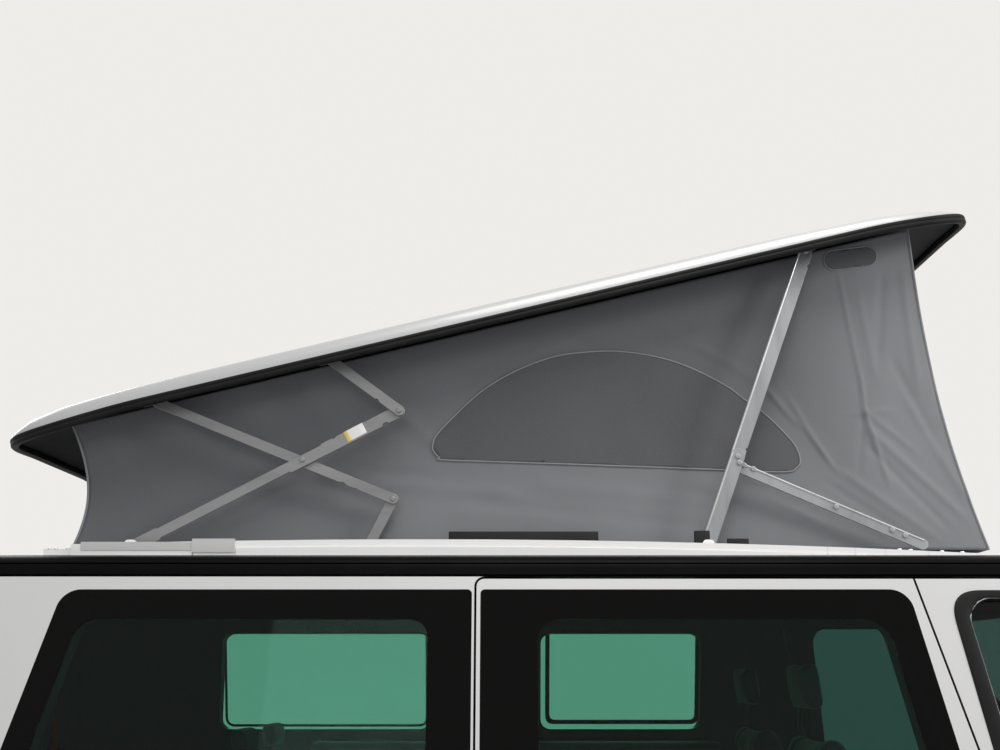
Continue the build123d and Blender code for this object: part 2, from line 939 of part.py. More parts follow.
def above_lip():
    """space above the rail's lower lip, which follows the rail's own line"""
    middle = (rail_lip_rear_x + rail_front_x) / 2
    return through_y(
        [
            (rail_lip_rear_x, rail_line(rail_lip_rear_x) - rail_lip_drop, 0),
            (middle, rail_line(middle) - rail_lip_drop + 15.5, 33000),
            (rail_front_x + 1, rail_line(rail_front_x) - rail_lip_drop, 0),
            (rail_front_x + 1, 2000, 0),
            (rail_lip_rear_x, 2000, 0),
        ]
    )


rail_groove_y = rail_outer_y - rail_step
step_strip = both_sides(block(-3000, 3000, rail_groove_y, rail_outer_y + 5, 1700, 2000))
step_space = carve(above_lip(), keep=[step_strip])
rail_end = block(rail_end_rear_x, rail_rear_x + 1, rail_inner_y, rail_end_outer_y, 1800, rail_end_top_z)
seam_y = rail_groove_y - 2
rails = carve(
    through_y(rail_curve),
    keep=[both_sides(block(-3000, 3000, rail_inner_y, rail_outer_y, 1700, 2000))],
    join=[both_sides(rail_end)],
)
rails = carve(
    rails,
    remove=[outer, step_space]
    + [both_sides(block(x, x + rail_seam_width, seam_y, rail_outer_y + 5, 1700, 2000)) for x in rail_seams],
)

# Raising roof: given closed, then turned about its pole to stand open.
roof_pole_x = -3270
roof_pole_z = 2000
roof_open_deg = 13.7
shell_half_width = 715
shell_rear_x = -1955
shell_front_x = 865
shell_low_z = 1890
shell_crown_z = 1992
shell_wall = 14


def opened(part):
    """a piece of the closed roof, turned to where it stands open"""
    return part.rotate(Axis((roof_pole_x, 0, roof_pole_z), (0, 1, 0)), -roof_open_deg)


def opened_point(x, z):
    turn = math.radians(roof_open_deg)
    dx = x - roof_pole_x
    dz = z - roof_pole_z
    return (roof_pole_x + dx * math.cos(turn) - dz * math.sin(turn),
            roof_pole_z + dx * math.sin(turn) + dz * math.cos(turn))


def roof_plan(inset):
    half = shell_half_width - inset
    return [
        (shell_rear_x - 5 + inset, 0, 3000),
        (shell_rear_x + 20 + inset, -half, 120 - inset),
        (shell_front_x - 65 - inset, -half, 100 - inset),
        (shell_front_x + 10 - inset, 0, 2500),
        (shell_front_x - 65 - inset, half, 100 - inset),
        (shell_rear_x + 20 + inset, half, 120 - inset),
    ]


def roof_mass(inset, low_z):
    """the closed roof's form: plan crossed with the arched side view and the crowned section"""
    side_view = outline(
        Plane.XZ,
        [
            (shell_rear_x - 50, low_z, 0),
            (shell_front_x + 80, low_z, 0),
            (shell_front_x + 80, shell_low_z + 8 - inset, 0),
            (shell_front_x - 60, shell_low_z + 44 - inset, 160),
            (400, shell_crown_z - 14 - inset, 1500),
            (-650, shell_crown_z + 8 - inset, 12000),
            (-1650, shell_crown_z - 24 - inset, 1500),
            (shell_rear_x + 20, shell_low_z + 52 - inset, 60),
            (shell_rear_x - 50, shell_low_z + 28 - inset, 0),
        ],
    )
    section = outline(
        Plane.YZ,
        mirrored(
            [
                (shell_half_width + 3 - inset, low_z, 0),
                (shell_half_width + 3 - inset, shell_low_z + 32 - inset, 22),
                (640 - inset, shell_crown_z - 30 - inset, 60),
                (250, shell_crown_z + 4 - inset, 2000),
            ]
        ),
    )
    with BuildPart() as mass:
        extrude(side_view, amount=cut_reach, both=True)
        extrude(section, amount=3000, both=True, mode=Mode.INTERSECT)
        extrude(outline(Plane.XY.offset(low_z), roof_plan(inset)), amount=300, mode=Mode.INTERSECT)
    return mass.part


roof_shell_closed = roof_mass(0, shell_low_z) - roof_mass(shell_wall, shell_low_z - 10)
save(opened(roof_shell_closed), "roof_shell")
lip_height = 18
lip_width = 20
seal_closed = along_z(roof_plan(-1), shell_low_z - lip_height, shell_low_z) - along_z(
    roof_plan(lip_width), shell_low_z - lip_height - 5, shell_low_z + 5
)
save(opened(seal_closed), "roof_seal")

# Folding links: van pins on the rails, roof pins on brackets; every bar lies flat when the roof is closed.
link_layers = [638, 628, 618, 608]  # distances from the middle, outermost first
bar_thickness = 8
bar_width = 40
pin_radius = 6
pin_clearance = 0.3
van_pin_z = 1897
roof_pin_z = 1911
scissor_van_pin_x = -1625
scissor_roof_pin_x = -1576
stay_roof_pin_x = -1066
stay_van_pin_x = -980
strut_van_pin_x = -45
strut_roof_pin_x = 353
stay_length = 262
van_stay_length = 150


def distance(a, b):
    return math.hypot(b[0] - a[0], b[1] - a[1])


def meeting(a, b, reach_a, reach_b, side):
    """where two bars of given lengths meet, pinned at a and b; side picks one of the two places"""
    span = distance(a, b)
    along = (span ** 2 + reach_a ** 2 - reach_b ** 2) / (2 * span)
    off = math.sqrt(max(reach_a ** 2 - along ** 2, 0)) * side
    ux = (b[0] - a[0]) / span
    uz = (b[1] - a[1]) / span
    return (a[0] + along * ux - off * uz, a[1] + along * uz + off * ux)


pin_a = (scissor_van_pin_x, van_pin_z)
pin_b = opened_point(scissor_roof_pin_x, roof_pin_z)
pin_c = opened_point(stay_roof_pin_x, roof_pin_z)
pin_d = (stay_van_pin_x, van_pin_z)
pin_e = (strut_van_pin_x, van_pin_z)
pin_g = opened_point(strut_roof_pin_x, roof_pin_z)
length_a = stay_length + distance(pin_a, (stay_roof_pin_x, roof_pin_z))
length_b = van_stay_length + distance(pin_d, (scissor_roof_pin_x, roof_pin_z))
upper_joint = meeting(pin_a, pin_c, length_a, stay_length, -1)
lower_joint = meeting(pin_b, pin_d, length_b, van_stay_length, 1)
strut_open = distance(pin_e, pin_g)
strut_shut = distance(pin_e, (strut_roof_pin_x, roof_pin_z))
length_e = (strut_open - strut_shut) / 2
length_g = (strut_open + strut_shut) / 2


def along_strut(reach):
    """place on the open strut at a distance from its foot"""
    return (
        pin_e[0] + (pin_g[0] - pin_e[0]) * reach / strut_open,
        pin_e[1] + (pin_g[1] - pin_e[1]) * reach / strut_open,
    )


knee = along_strut(length_e)
brace_back = 45
brace_pin = (along_strut(length_e - brace_back)[0] + 12, along_strut(length_e - brace_back)[1] - 4)
brace_foot = (551, van_pin_z)


bar_web = 3
bar_flange = 4
bar_solid_end = 24
notch_radius = 5


def bar(a, b, y, holes=(True, True), width=bar_width, notches=()):
    """pressed bar between two pins in one layer: round ends, flanges turned inwards and small notches

    each notch is its distance from the first pin and its edge, 1 upper or -1 lower
    """
    side = Plane(
        origin=(a[0], y + bar_thickness / 2, a[1]), x_dir=(b[0] - a[0], 0, b[1] - a[1]), z_dir=(0, -1, 0)
    )
    span = distance(a, b)
    with BuildPart() as pressed:
        with BuildSketch(side):
            with Locations((span / 2, 0)):
                SlotCenterToCenter(span, width)
            for hole, x in zip(holes, (0, span)):
                if hole:
                    with Locations((x, 0)):
                        Circle(pin_radius + pin_clearance, mode=Mode.SUBTRACT)
            for x, edge in notches:
                with Locations((x, edge * width / 2)):
                    Circle(notch_radius, mode=Mode.SUBTRACT)
        extrude(amount=bar_thickness)
        with BuildSketch(side.offset(bar_web)):
            with Locations((span / 2, 0)):
                RectangleRounded(span - 2 * bar_solid_end, width - 2 * bar_flange - notch_radius, 6)
        extrude(amount=bar_thickness, mode=Mode.SUBTRACT)
    return pressed.part


def pin(at, y0, y1, radius=pin_radius):
    return rod((at[0], y0, at[1]), (at[0], y1, at[1]), radius)


half_bar = bar_thickness / 2
boss_radius = 13
boss_height = 0.8
layer_c, layer_a, layer_b, layer_d = link_layers
layer_e, layer_f, layer_g = link_layers[:3]


def boss(at, layer, side):
    """low round boss of a folding joint on a bar's face; side is 1 outwards, -1 inwards"""
    face = layer + side * half_bar
    return pin(at, face - side, face + side * boss_height, boss_radius)


def crossing(a, b, c, d):
    """where the lines of two bars cross, seen from the side"""
    ab = (b[0] - a[0], b[1] - a[1])
    cd = (d[0] - c[0], d[1] - c[1])
    share = ((c[0] - a[0]) * cd[1] - (c[1] - a[1]) * cd[0]) / (ab[0] * cd[1] - ab[1] * cd[0])
    return (a[0] + ab[0] * share, a[1] + ab[1] * share)


strut_notch_x = length_g - 42
scissor_middle = crossing(pin_a, upper_joint, pin_b, lower_joint)
strut_width = 46
brace_width = 36
scissor_van_notches = [(95, -1), (474, -1), (572, 1), (611, 1), (763, -1)]
scissor_roof_notches = [(593, 1), (700, 1)]
link_parts = {
    "scissor_bars_van": bar(pin_a, upper_joint, layer_a, (True, False), notches=scissor_van_notches)
    + boss(upper_joint, layer_a, 1)
    + boss(scissor_middle, layer_a, 1),
    "scissor_bars_roof": bar(pin_b, lower_joint, layer_b, (True, False), notches=scissor_roof_notches)
    + boss(lower_joint, layer_b, -1),
    "short_stays_roof": bar(pin_c, upper_joint, layer_c, (True, False), notches=[(204, 1)])
    + boss(upper_joint, layer_c, -1),
    "short_stays_van": bar(pin_d, lower_joint, layer_d, (True, False)) + boss(lower_joint, layer_d, 1),
    "front_struts_lower": bar(pin_e, knee, layer_e, (True, False), strut_width)
    + boss(knee, layer_e, -1)
    + pin(brace_pin, layer_e + half_bar - bar_web, layer_f - half_bar),
    "front_struts_upper": bar(pin_g, knee, layer_g, (True, False), notches=[(62, -1), (strut_notch_x, -1)])
    + boss(knee, layer_g, 1),
    "front_braces": bar(brace_pin, brace_foot, layer_f, (True, False), brace_width),
}
for name, part in link_parts.items():
    linked = both_sides(part)
    save(linked, name)


def foot(at, y0, y1):
    """lug that stands on the roof or its rail and holds one van pin"""
    lug = through_y(
        [
            (at[0] - 30, 1830, 0),
            (at[0] + 30, 1830, 0),
            (at[0] + 14, at[1] + 15, 10),
            (at[0] - 14, at[1] + 15, 10),
        ]
    )
    return carve(lug, keep=[block(-3000, 3000, y0, y1, 1800, 2000)], remove=[outer])


for at, layer in ((pin_a, layer_a), (pin_e, layer_e)):
    rails = rails + both_sides(
        foot(at, rail_inner_y - 7, rail_inner_y + 4) + pin(at, layer - half_bar - 1, rail_inner_y + 3)
    )
stay_foot_y = layer_d - half_bar - 12
rails = rails + both_sides(
    foot(pin_d, stay_foot_y, stay_foot_y + 8) + pin(pin_d, stay_foot_y, layer_d + half_bar + 1)
)
save(rails, "roof_rails")

# Roof frame: brackets under the shell that hold the roof pins.
bracket_thickness = 6


def bracket(x, y0, pin_end):
    """plate under the roof, from its ceiling down round one pin"""
    with BuildPart() as plate:
        with BuildSketch(Plane.XZ.offset(-y0)):
            with BuildLine():
                Polyline(
                    (x - 34, 1985), (x - 16, roof_pin_z), (x + 16, roof_pin_z), (x + 34, 1985), close=True
                )
            make_face()
            with Locations((x, roof_pin_z)):
                Circle(16)
        extrude(amount=-bracket_thickness)
        add(roof_mass(shell_wall, shell_low_z - 40), mode=Mode.INTERSECT)
    return plate.part + pin((x, roof_pin_z), y0 + bracket_thickness / 2, pin_end)


inner_bracket_y = layer_b - half_bar - 12
brackets = both_sides(
    bracket(scissor_roof_pin_x, inner_bracket_y, layer_b + half_bar + 1)
    + bracket(stay_roof_pin_x, layer_c + half_bar + 2, layer_c - half_bar - 1)
    + bracket(strut_roof_pin_x, inner_bracket_y, layer_g + half_bar + 1)
)
save(opened(brackets), "roof_brackets")

# Tent: one hollow wall of cloth from the hatch's edge to the roof.
tent_half_width = 580
tent_wall = 4
tent_base_z = 1893


def tent_mass(inset, base_z):
    rear = opened_point(-1845, 1906)
    front = opened_point(665, 1906)
    with BuildPart() as mass:
        extrude(
            outline(
                Plane.XZ,
                [
                    (-1813 + inset, base_z, 0),
                    (755 - inset, base_z, 0),
                    (664 - inset, 2235, 1800),
                    (front[0] - 8 - inset, front[1] - inset - 14, 0),
                    (rear[0] + inset, rear[1] - inset - 14, 0),
                    (-1792 + inset, 2034, 300),
                ],
            ),
            amount=tent_half_width - inset,
            both=True,
        )
    return mass.part


tent = tent_mass(0, tent_base_z) - tent_mass(tent_wall, tent_base_z - 50)
save(tent, "tent_fabric")

# Inside and below: floor, wheel houses, bulkhead, seats and fittings.
floor_low_z = 470
floor_thickness = 30
bulkhead_x = 1290
liner_wall = 10
liner_inner_y = 490
liner_outer_y = 885


def wheel_house(axle_x):
    """half-round tub over one wheel, closed on its inner side"""
    outside = wheel_space(axle_x, wheelhouse_radius + liner_wall, liner_inner_y - liner_wall, liner_outer_y)
    inside = wheel_space(axle_x, wheelhouse_radius, liner_inner_y, liner_outer_y + 50)
    return carve(outside, remove=[inside, block(-3000, 3000, 0, 1200, 0, tyre_radius + 60)])


houses = []
for axle_x in (front_axle_x, rear_axle_x):
    tub = wheel_house(axle_x)
    trims = [block(-3000, door_front_x + 10, 830, 1200, 0, 2000)] if axle_x == front_axle_x else []
    houses.append(carve(tub, keep=[room], remove=trims))
wheel_houses = both_sides(houses[0] + houses[1])
save(wheel_houses, "wheel_houses")
house_space = both_sides(
    wheel_space(front_axle_x, wheelhouse_radius + liner_wall, liner_inner_y - liner_wall, 1100)
    + wheel_space(rear_axle_x, wheelhouse_radius + liner_wall, liner_inner_y - liner_wall, 1100)
)
floor_rear_x = -2340
door_inner_trim = block(500, 1450, 852, 1200, 0, 2500)
floor_pan = carve(
    block(floor_rear_x, bulkhead_x, -1000, 1000, floor_low_z, floor_low_z + floor_thickness),
    keep=[room],
    remove=[house_space, both_sides(door_inner_trim)],
)
for y in (-420, 420):
    floor_pan = floor_pan + block(-2080, 1400, y - 35, y + 35, floor_low_z - 70, floor_low_z)
bulkhead = carve(
    block(bulkhead_x - 10, bulkhead_x + 20, -1000, 1000, floor_low_z, 1084),
    keep=[room],
    remove=[house_space, both_sides(door_inner_trim)],
)
tank = block(-620, 240, 470, 830, 285, floor_low_z + 1, 60)
silencer = rod((-760, -230, 345), (-140, -230, 345), 78) + block(-480, -420, -270, -190, 380, floor_low_z + 1)
exhaust = rod((-150, -230, 345), (1180, -230, 345), 26) + block(1120, 1150, -256, -204, 345, floor_low_z + 1)
floor_pan = floor_pan + bulkhead + tank + silencer + exhaust
save(floor_pan, "floor_pan")
dashboard = carve(
    through_y(
        [
            (1010, 760, 40),
            (1278, 760, 0),
            (1278, 1080, 0),
            (1420, 1118, 20),
            (1300, 1165, 40),
            (1085, 1150, 60),
            (1010, 1060, 60),
        ]
    ),
    keep=[room, block(900, 1600, -790, 790, 500, 1300)],
    remove=[cab_frame, bulkhead],
)


def seat(x, y, width, base_z, cushion_length, back_height, rake):
    """one seat: box base, cushion, raked back and headrest"""
    side_view = [
        (x - 20, base_z, 20),
        (x + cushion_length, base_z, 30),
        (x + cushion_length, base_z + 130, 45),
        (x + 130, base_z + 110, 40),
        (x + 110 - rake, base_z + 110 + back_height, 40),
        (x - 10 - rake, base_z + 110 + back_height, 40),
        (x - 20, base_z + 60, 60),
    ]
    with BuildPart() as piece:
        extrude(outline(Plane.XZ.offset(-y - width / 2), side_view), amount=width)
        with Locations((x - rake + 45, y, base_z + back_height + 195)):
            Box(85, width * 0.5, 170)
        with Locations((x + cushion_length * 0.5, y, (base_z + floor_low_z + floor_thickness) / 2)):
            Box(cushion_length * 0.75, width * 0.7, base_z - floor_low_z - floor_thickness)
    return piece.part


front_seats = seat(350, 400, 520, 760, 500, 560, 130) + seat(350, -400, 520, 760, 500, 560, 130)
save(front_seats, "front_seats")
rear_bench = seat(-1330, -10, 920, 760, 520, 560, 110)
save(rear_bench, "rear_bench")
kitchen_unit = carve(
    block(-1300, 180, 480, 1000, floor_low_z + floor_thickness, 1290), keep=[room], remove=[house_space]
)
save(kitchen_unit, "kitchen_unit")
engine = block(1640, 2150, -330, 380, 330, 880, 60)
save(engine, "engine_block")

# Steering wheel and its column.
wheel_hub = (960, 400, 1040)
column_axis = Vector(-0.9, 0, 0.436).normalized()
steering_plane = Plane(origin=wheel_hub, x_dir=(0, 1, 0), z_dir=column_axis)
steering_radius = 178
steering_grip = 15
with BuildPart() as steering_wheel:
    with BuildSketch(steering_plane):
        Circle(62)
        for angle in (0, 180, 270):
            with Locations(Rotation(0, 0, angle)):
                with Locations((steering_radius / 2, 0)):
                    Rectangle(steering_radius, 32)
    extrude(amount=16)
    with BuildSketch(steering_plane):
        Circle(62)
    extrude(amount=34, taper=18)
    with Locations(Location(steering_plane.offset(10))):
        Torus(steering_radius, steering_grip)
column_foot = Vector(*wheel_hub) - column_axis * 210
column = rod(tuple(column_foot), tuple(Vector(*wheel_hub) - column_axis * 6), 24)
save(steering_wheel.part, "steering_wheel")
dashboard = dashboard + column
save(dashboard, "dashboard")

# Axles, knuckles and wheels.
spindle_radius = 28
wheel_middle_y = wheel_track_half


def tyre(axle_x, y):
    """tyre with a rounded tread and open bead, turned about the axle"""
    half = tyre_width / 2
    with BuildPart() as ring:
        with BuildSketch(Plane.XY):
            with BuildLine():
                Polyline(
                    (rim_radius + 2, -half + 22),
                    (rim_radius + 40, -half),
                    (tyre_radius - 34, -half + 4),
                    (tyre_radius - 4, -half + 30),
                    (tyre_radius, -half + 60),
                    (tyre_radius, half - 60),
                    (tyre_radius - 4, half - 30),
                    (tyre_radius - 34, half - 4),
                    (rim_radius + 40, half),
                    (rim_radius + 2, half - 22),
                    close=True,
                )
            make_face()
        revolve(axis=Axis.Y)
    return ring.part.translate((axle_x, y, tyre_radius))


spoke_count = 5
cap_reach = 28


def rim(axle_x, y, side):
    """rim barrel with a dished five-spoke face outwards, and a hub whose bore is closed by a cap"""
    half = tyre_width / 2
    face = half - 45
    with BuildPart() as piece:
        with BuildSketch(Plane.XY):
            with BuildLine():
                Polyline(
                    (rim_radius - 14, -half + 12),
                    (rim_radius + 1, -half + 8),
                    (rim_radius + 1, half - 8),
                    (rim_radius - 14, half - 12),
                    close=True,
                )
            make_face()
        revolve(axis=Axis.Y)
        with BuildSketch(Plane.XY):
            with BuildLine():
                Polyline(
                    (0, face - 20),
                    (70, face - 20),
                    (rim_radius - 24, face),
                    (rim_radius - 10, face),
                    (rim_radius - 10, face - 26),
                    (rim_radius - 24, face - 26),
                    (75, face - 46),
                    (0, face - 46),
                    close=True,
                )
            make_face()
        revolve(axis=Axis.Y)
        with BuildSketch(Plane.XZ.offset(-face - 10)):
            for spoke in range(spoke_count):
                with Locations(Rotation(0, 0, (spoke + 0.5) * 360 / spoke_count)):
                    with Locations((133, 0)):
                        Trapezoid(108, 84, 76, rotation=-90)
        extrude(amount=80, mode=Mode.SUBTRACT)
        with BuildSketch(Plane.XZ.offset(-face + 20)):
            Circle(62)
        extrude(amount=46)
        with BuildSketch(Plane.XZ.offset(-face + 20)):
            Circle(spindle_radius + axle_clearance)
        extrude(amount=80, mode=Mode.SUBTRACT)
        with BuildSketch(Plane.XZ.offset(-face + 20)):
            Circle(46)
            Circle(spindle_radius + axle_clearance, mode=Mode.SUBTRACT)
        extrude(amount=-cap_reach)
        with BuildSketch(Plane.XZ.offset(-face + 20 - cap_reach)):
            Circle(46)
        extrude(amount=-6, taper=30)
    part = piece.part if side > 0 else mirror(piece.part, about=Plane.XZ)
    return part.translate((axle_x, y, tyre_radius))


wheel_names = {
    "front_left": (front_axle_x, 1),
    "front_right": (front_axle_x, -1),
    "rear_left": (rear_axle_x, 1),
    "rear_right": (rear_axle_x, -1),
}
for name, (axle_x, side) in wheel_names.items():
    save(tyre(axle_x, side * wheel_middle_y), "tyre_" + name)
    wheel = rim(axle_x, side * wheel_middle_y, side)
    save(wheel, "rim_" + name)
spindle_end_y = wheel_middle_y + tyre_width / 2 - 40
disc_y = wheel_middle_y - 42


def knuckle(side):
    """upright with its spindle, brake disc and leaning strut, turning on the kingpin"""
    x = front_axle_x
    z = tyre_radius
    body = rod((x, kingpin_y, z), (x, spindle_end_y, z), spindle_radius)
    body = body + rod((x, disc_y - 10, z), (x, disc_y + 10, z), 140)
    body = body + block(x - 38, x + 38, kingpin_y - 40, kingpin_y + 18, z - 110, z + 100, 10)
    body = body + rod((x, 640, z + 40), (x, 686, 778), 22)
    body = body + rod((x, kingpin_y, 224), (x, kingpin_y, z), 11)
    return body if side > 0 else mirror(body, about=Plane.XZ)


for name, side in (("left", 1), ("right", -1)):
    upright = knuckle(side)
    save(upright, "knuckle_" + name)
subframe = block(1420, 1680, -400, 400, 250, 310, 20)
arm = along_z([(1440, 380, 0), (1650, 380, 0), (1562, 700, 14), (1528, 700, 14)], 196, 222)
subframe = subframe + both_sides(arm + block(1440, 1650, 330, 395, 196, 255))
save(subframe, "front_subframe")
rear_beam = rod(
    (rear_axle_x, -spindle_end_y, tyre_radius), (rear_axle_x, spindle_end_y, tyre_radius), spindle_radius
)
rear_beam = rear_beam + rod((rear_axle_x, -640, tyre_radius), (rear_axle_x, 640, tyre_radius), 45)
rear_beam = rear_beam + both_sides(
    rod((rear_axle_x, disc_y - 10, tyre_radius), (rear_axle_x, disc_y + 10, tyre_radius), 130)
    + rod((rear_axle_x, 560, tyre_radius), (rear_axle_x + 520, 500, 366), 26)
    + rod((rear_axle_x - 60, 600, tyre_radius), (rear_axle_x - 60, 600, 460), 30)
)
save(rear_beam, "rear_axle")
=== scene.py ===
import bpy
import bmesh
import math
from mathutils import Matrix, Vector, noise


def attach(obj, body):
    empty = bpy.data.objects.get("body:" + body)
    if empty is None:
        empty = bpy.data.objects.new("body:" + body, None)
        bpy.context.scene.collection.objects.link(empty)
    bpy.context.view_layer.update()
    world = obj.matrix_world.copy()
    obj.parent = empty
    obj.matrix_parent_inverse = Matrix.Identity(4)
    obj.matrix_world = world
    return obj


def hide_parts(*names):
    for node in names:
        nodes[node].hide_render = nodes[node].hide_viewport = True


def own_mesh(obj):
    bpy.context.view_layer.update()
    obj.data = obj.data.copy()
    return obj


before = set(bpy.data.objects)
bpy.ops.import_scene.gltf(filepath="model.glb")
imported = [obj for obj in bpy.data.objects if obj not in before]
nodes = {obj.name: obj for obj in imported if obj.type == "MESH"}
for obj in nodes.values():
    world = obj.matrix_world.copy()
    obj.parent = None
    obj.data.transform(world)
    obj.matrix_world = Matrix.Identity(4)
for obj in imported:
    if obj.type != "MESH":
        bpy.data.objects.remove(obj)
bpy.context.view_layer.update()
bpy.ops.object.select_all(action="DESELECT")
print("frame loaded:", len(nodes), "nodes")

# camera, stage and light
viewpoint = {
    "place": (-0.615, -3.83, 1.52),
    "pitch": 99.2317,  # degrees from looking straight down
    "lens": 42.084,
    "shiftUp": 0.12,
}
bpy.ops.object.camera_add(location=viewpoint["place"], rotation=(math.radians(viewpoint["pitch"]), 0, 0))
camera = bpy.context.object
camera.data.lens = viewpoint["lens"]
camera.data.shift_y = viewpoint["shiftUp"]
camera.data.clip_end = 100
bpy.context.scene.camera = camera
bpy.context.scene.view_settings.view_transform = "Standard"

studio = {
    "backdrop": (0.86, 0.84, 0.82),
    "ambient": (0.96, 0.98, 1.0),
    "ambientStrength": 0.46,
    "lamps": [
        # name, place, aimed at, size, power, colour, seen in mirroring surfaces
        ("ceilingLamp", (0.0, -1.9, 5.2), (-0.5, 0.0, 1.9), 2.6, 105, (1.0, 0.98, 0.95), True),
        ("frontLamp", (4.4, -2.6, 3.9), (0.0, -0.5, 2.2), 1.0, 108, (1.0, 0.98, 0.96), True),
        ("rearLamp", (-4.4, 2.6, 4.2), (-0.5, 0.0, 1.4), 2.4, 60, (0.95, 0.98, 1.0), True),
        ("sideLamp", (-1.4, -5.4, 3.6), (-0.5, -0.8, 1.9), 1.6, 34, (0.98, 0.99, 1.0), False),
    ],
    "floorSize": 40,
}


def addLamp(name, place, aim, size, power, color, mirrored):
    turn = (Vector(aim) - Vector(place)).to_track_quat("-Z", "Y").to_euler()
    bpy.ops.object.light_add(type="AREA", location=place, rotation=turn)
    lamp = bpy.context.object
    lamp.name = name
    lamp.data.size = size
    lamp.data.energy = power
    lamp.data.color = color
    lamp.visible_glossy = mirrored


for row in studio["lamps"]:
    addLamp(*row)

world = bpy.data.worlds.new("studioWorld")
bpy.context.scene.world = world
world.use_nodes = True
tree = world.node_tree
tree.nodes.clear()
rays = tree.nodes.new("ShaderNodeLightPath")
seen = tree.nodes.new("ShaderNodeMath")
seen.operation = "MAXIMUM"
seenThrough = tree.nodes.new("ShaderNodeMath")
seenThrough.operation = "MAXIMUM"
ambient = tree.nodes.new("ShaderNodeBackground")
ambient.inputs["Color"].default_value = (*studio["ambient"], 1)
ambient.inputs["Strength"].default_value = studio["ambientStrength"]
backdrop = tree.nodes.new("ShaderNodeBackground")
backdrop.inputs["Color"].default_value = (*studio["backdrop"], 1)
blendWorld = tree.nodes.new("ShaderNodeMixShader")
worldOut = tree.nodes.new("ShaderNodeOutputWorld")
tree.links.new(rays.outputs["Is Camera Ray"], seen.inputs[0])
tree.links.new(rays.outputs["Is Glossy Ray"], seen.inputs[1])
tree.links.new(seen.outputs[0], seenThrough.inputs[0])
tree.links.new(rays.outputs["Is Transmission Ray"], seenThrough.inputs[1])
tree.links.new(seenThrough.outputs[0], blendWorld.inputs["Fac"])
tree.links.new(ambient.outputs[0], blendWorld.inputs[1])
tree.links.new(backdrop.outputs[0], blendWorld.inputs[2])
tree.links.new(blendWorld.outputs[0], worldOut.inputs["Surface"])

bpy.ops.mesh.primitive_grid_add(x_subdivisions=2, y_subdivisions=2, size=studio["floorSize"], location=(0, 0, 0))
floor = bpy.context.object
floor.name = "studioFloor"
print("camera, lamps and floor ready")


# shared effects
def newGroup(name, inputs, outputs):
    group = bpy.data.node_groups.new(name, "ShaderNodeTree")
    for label, kind, value in inputs:
        socket = group.interface.new_socket(label, in_out="INPUT", socket_type="NodeSocket" + kind)
        if value is not None:
            socket.default_value = value
    for label, kind in outputs:
        group.interface.new_socket(label, in_out="OUTPUT", socket_type="NodeSocket" + kind)
    return group, group.nodes.new("NodeGroupInput"), group.nodes.new("NodeGroupOutput")


def mathNode(group, kind, *values):
    node = group.nodes.new("ShaderNodeMath")
    node.operation = kind
    for i, value in enumerate(values):
        if isinstance(value, (int, float)):
            node.inputs[i].default_value = value
        else:
            group.links.new(value, node.inputs[i])
    return node.outputs[0]


def vectorNode(group, kind, *values):
    node = group.nodes.new("ShaderNodeVectorMath")
    node.operation = kind
    for i, value in enumerate(values):
        group.links.new(value, node.inputs[i])
    return node


# soft blotches and a fine grain, stretched along one way if asked
grainGroup, gIn, gOut = newGroup(
    "surfaceGrain",
    [("Vector", "Vector", None), ("Blotch Scale", "Float", 3.0), ("Fine Scale", "Float", 400.0),
     ("Stretch", "Vector", (1, 1, 1))],
    [("Blotch", "Float"), ("Fine", "Float")],
)
stretched = vectorNode(grainGroup, "MULTIPLY", gIn.outputs["Vector"], gIn.outputs["Stretch"])
for label, scale, detail in (("Blotch", "Blotch Scale", 3), ("Fine", "Fine Scale", 2)):
    texture = grainGroup.nodes.new("ShaderNodeTexNoise")
    texture.inputs["Detail"].default_value = detail
    grainGroup.links.new(stretched.outputs[0], texture.inputs["Vector"])
    grainGroup.links.new(gIn.outputs[scale], texture.inputs["Scale"])
    grainGroup.links.new(texture.outputs["Fac"], gOut.inputs[label])

# two crossing sets of threads; the second set runs along Z
weaveGroup, wIn, wOut = newGroup(
    "clothWeave",
    [("Vector", "Vector", None), ("Threads", "Float", 900.0)],
    [("Height", "Float"), ("Shade", "Float")],
)
parts = weaveGroup.nodes.new("ShaderNodeSeparateXYZ")
weaveGroup.links.new(wIn.outputs["Vector"], parts.inputs[0])
across = mathNode(weaveGroup, "ADD", parts.outputs["X"], parts.outputs["Y"])
waves = []
for way in (across, parts.outputs["Z"]):
    turned = mathNode(weaveGroup, "MULTIPLY", way, wIn.outputs["Threads"])
    waves.append(mathNode(weaveGroup, "SINE", mathNode(weaveGroup, "MULTIPLY", turned, math.pi * 2)))
crossing = mathNode(weaveGroup, "MULTIPLY", waves[0], waves[1])
height = mathNode(weaveGroup, "MULTIPLY_ADD", crossing, 0.5, 0.5)
weaveGroup.links.new(height, wOut.inputs["Height"])
slubs = weaveGroup.nodes.new("ShaderNodeTexNoise")
slubs.inputs["Scale"].default_value = 260
weaveGroup.links.new(wIn.outputs["Vector"], slubs.inputs["Vector"])
weaveGroup.links.new(slubs.outputs["Fac"], wOut.inputs["Shade"])

# 1 on faces that look towards the middle of the cabin
insideGroup, iIn, iOut = newGroup(
    "cabinSide",
    [("Vector", "Vector", None), ("Normal", "Vector", None), ("Middle", "Vector", (-0.5, 0, 1.15))],
    [("Inside", "Float")],
)
away = vectorNode(insideGroup, "SUBTRACT", iIn.outputs["Vector"], iIn.outputs["Middle"])
facing = vectorNode(insideGroup, "DOT_PRODUCT", away.outputs[0], iIn.outputs["Normal"])
insideGroup.links.new(mathNode(insideGroup, "LESS_THAN", facing.outputs["Value"], -0.2), iOut.inputs["Inside"])

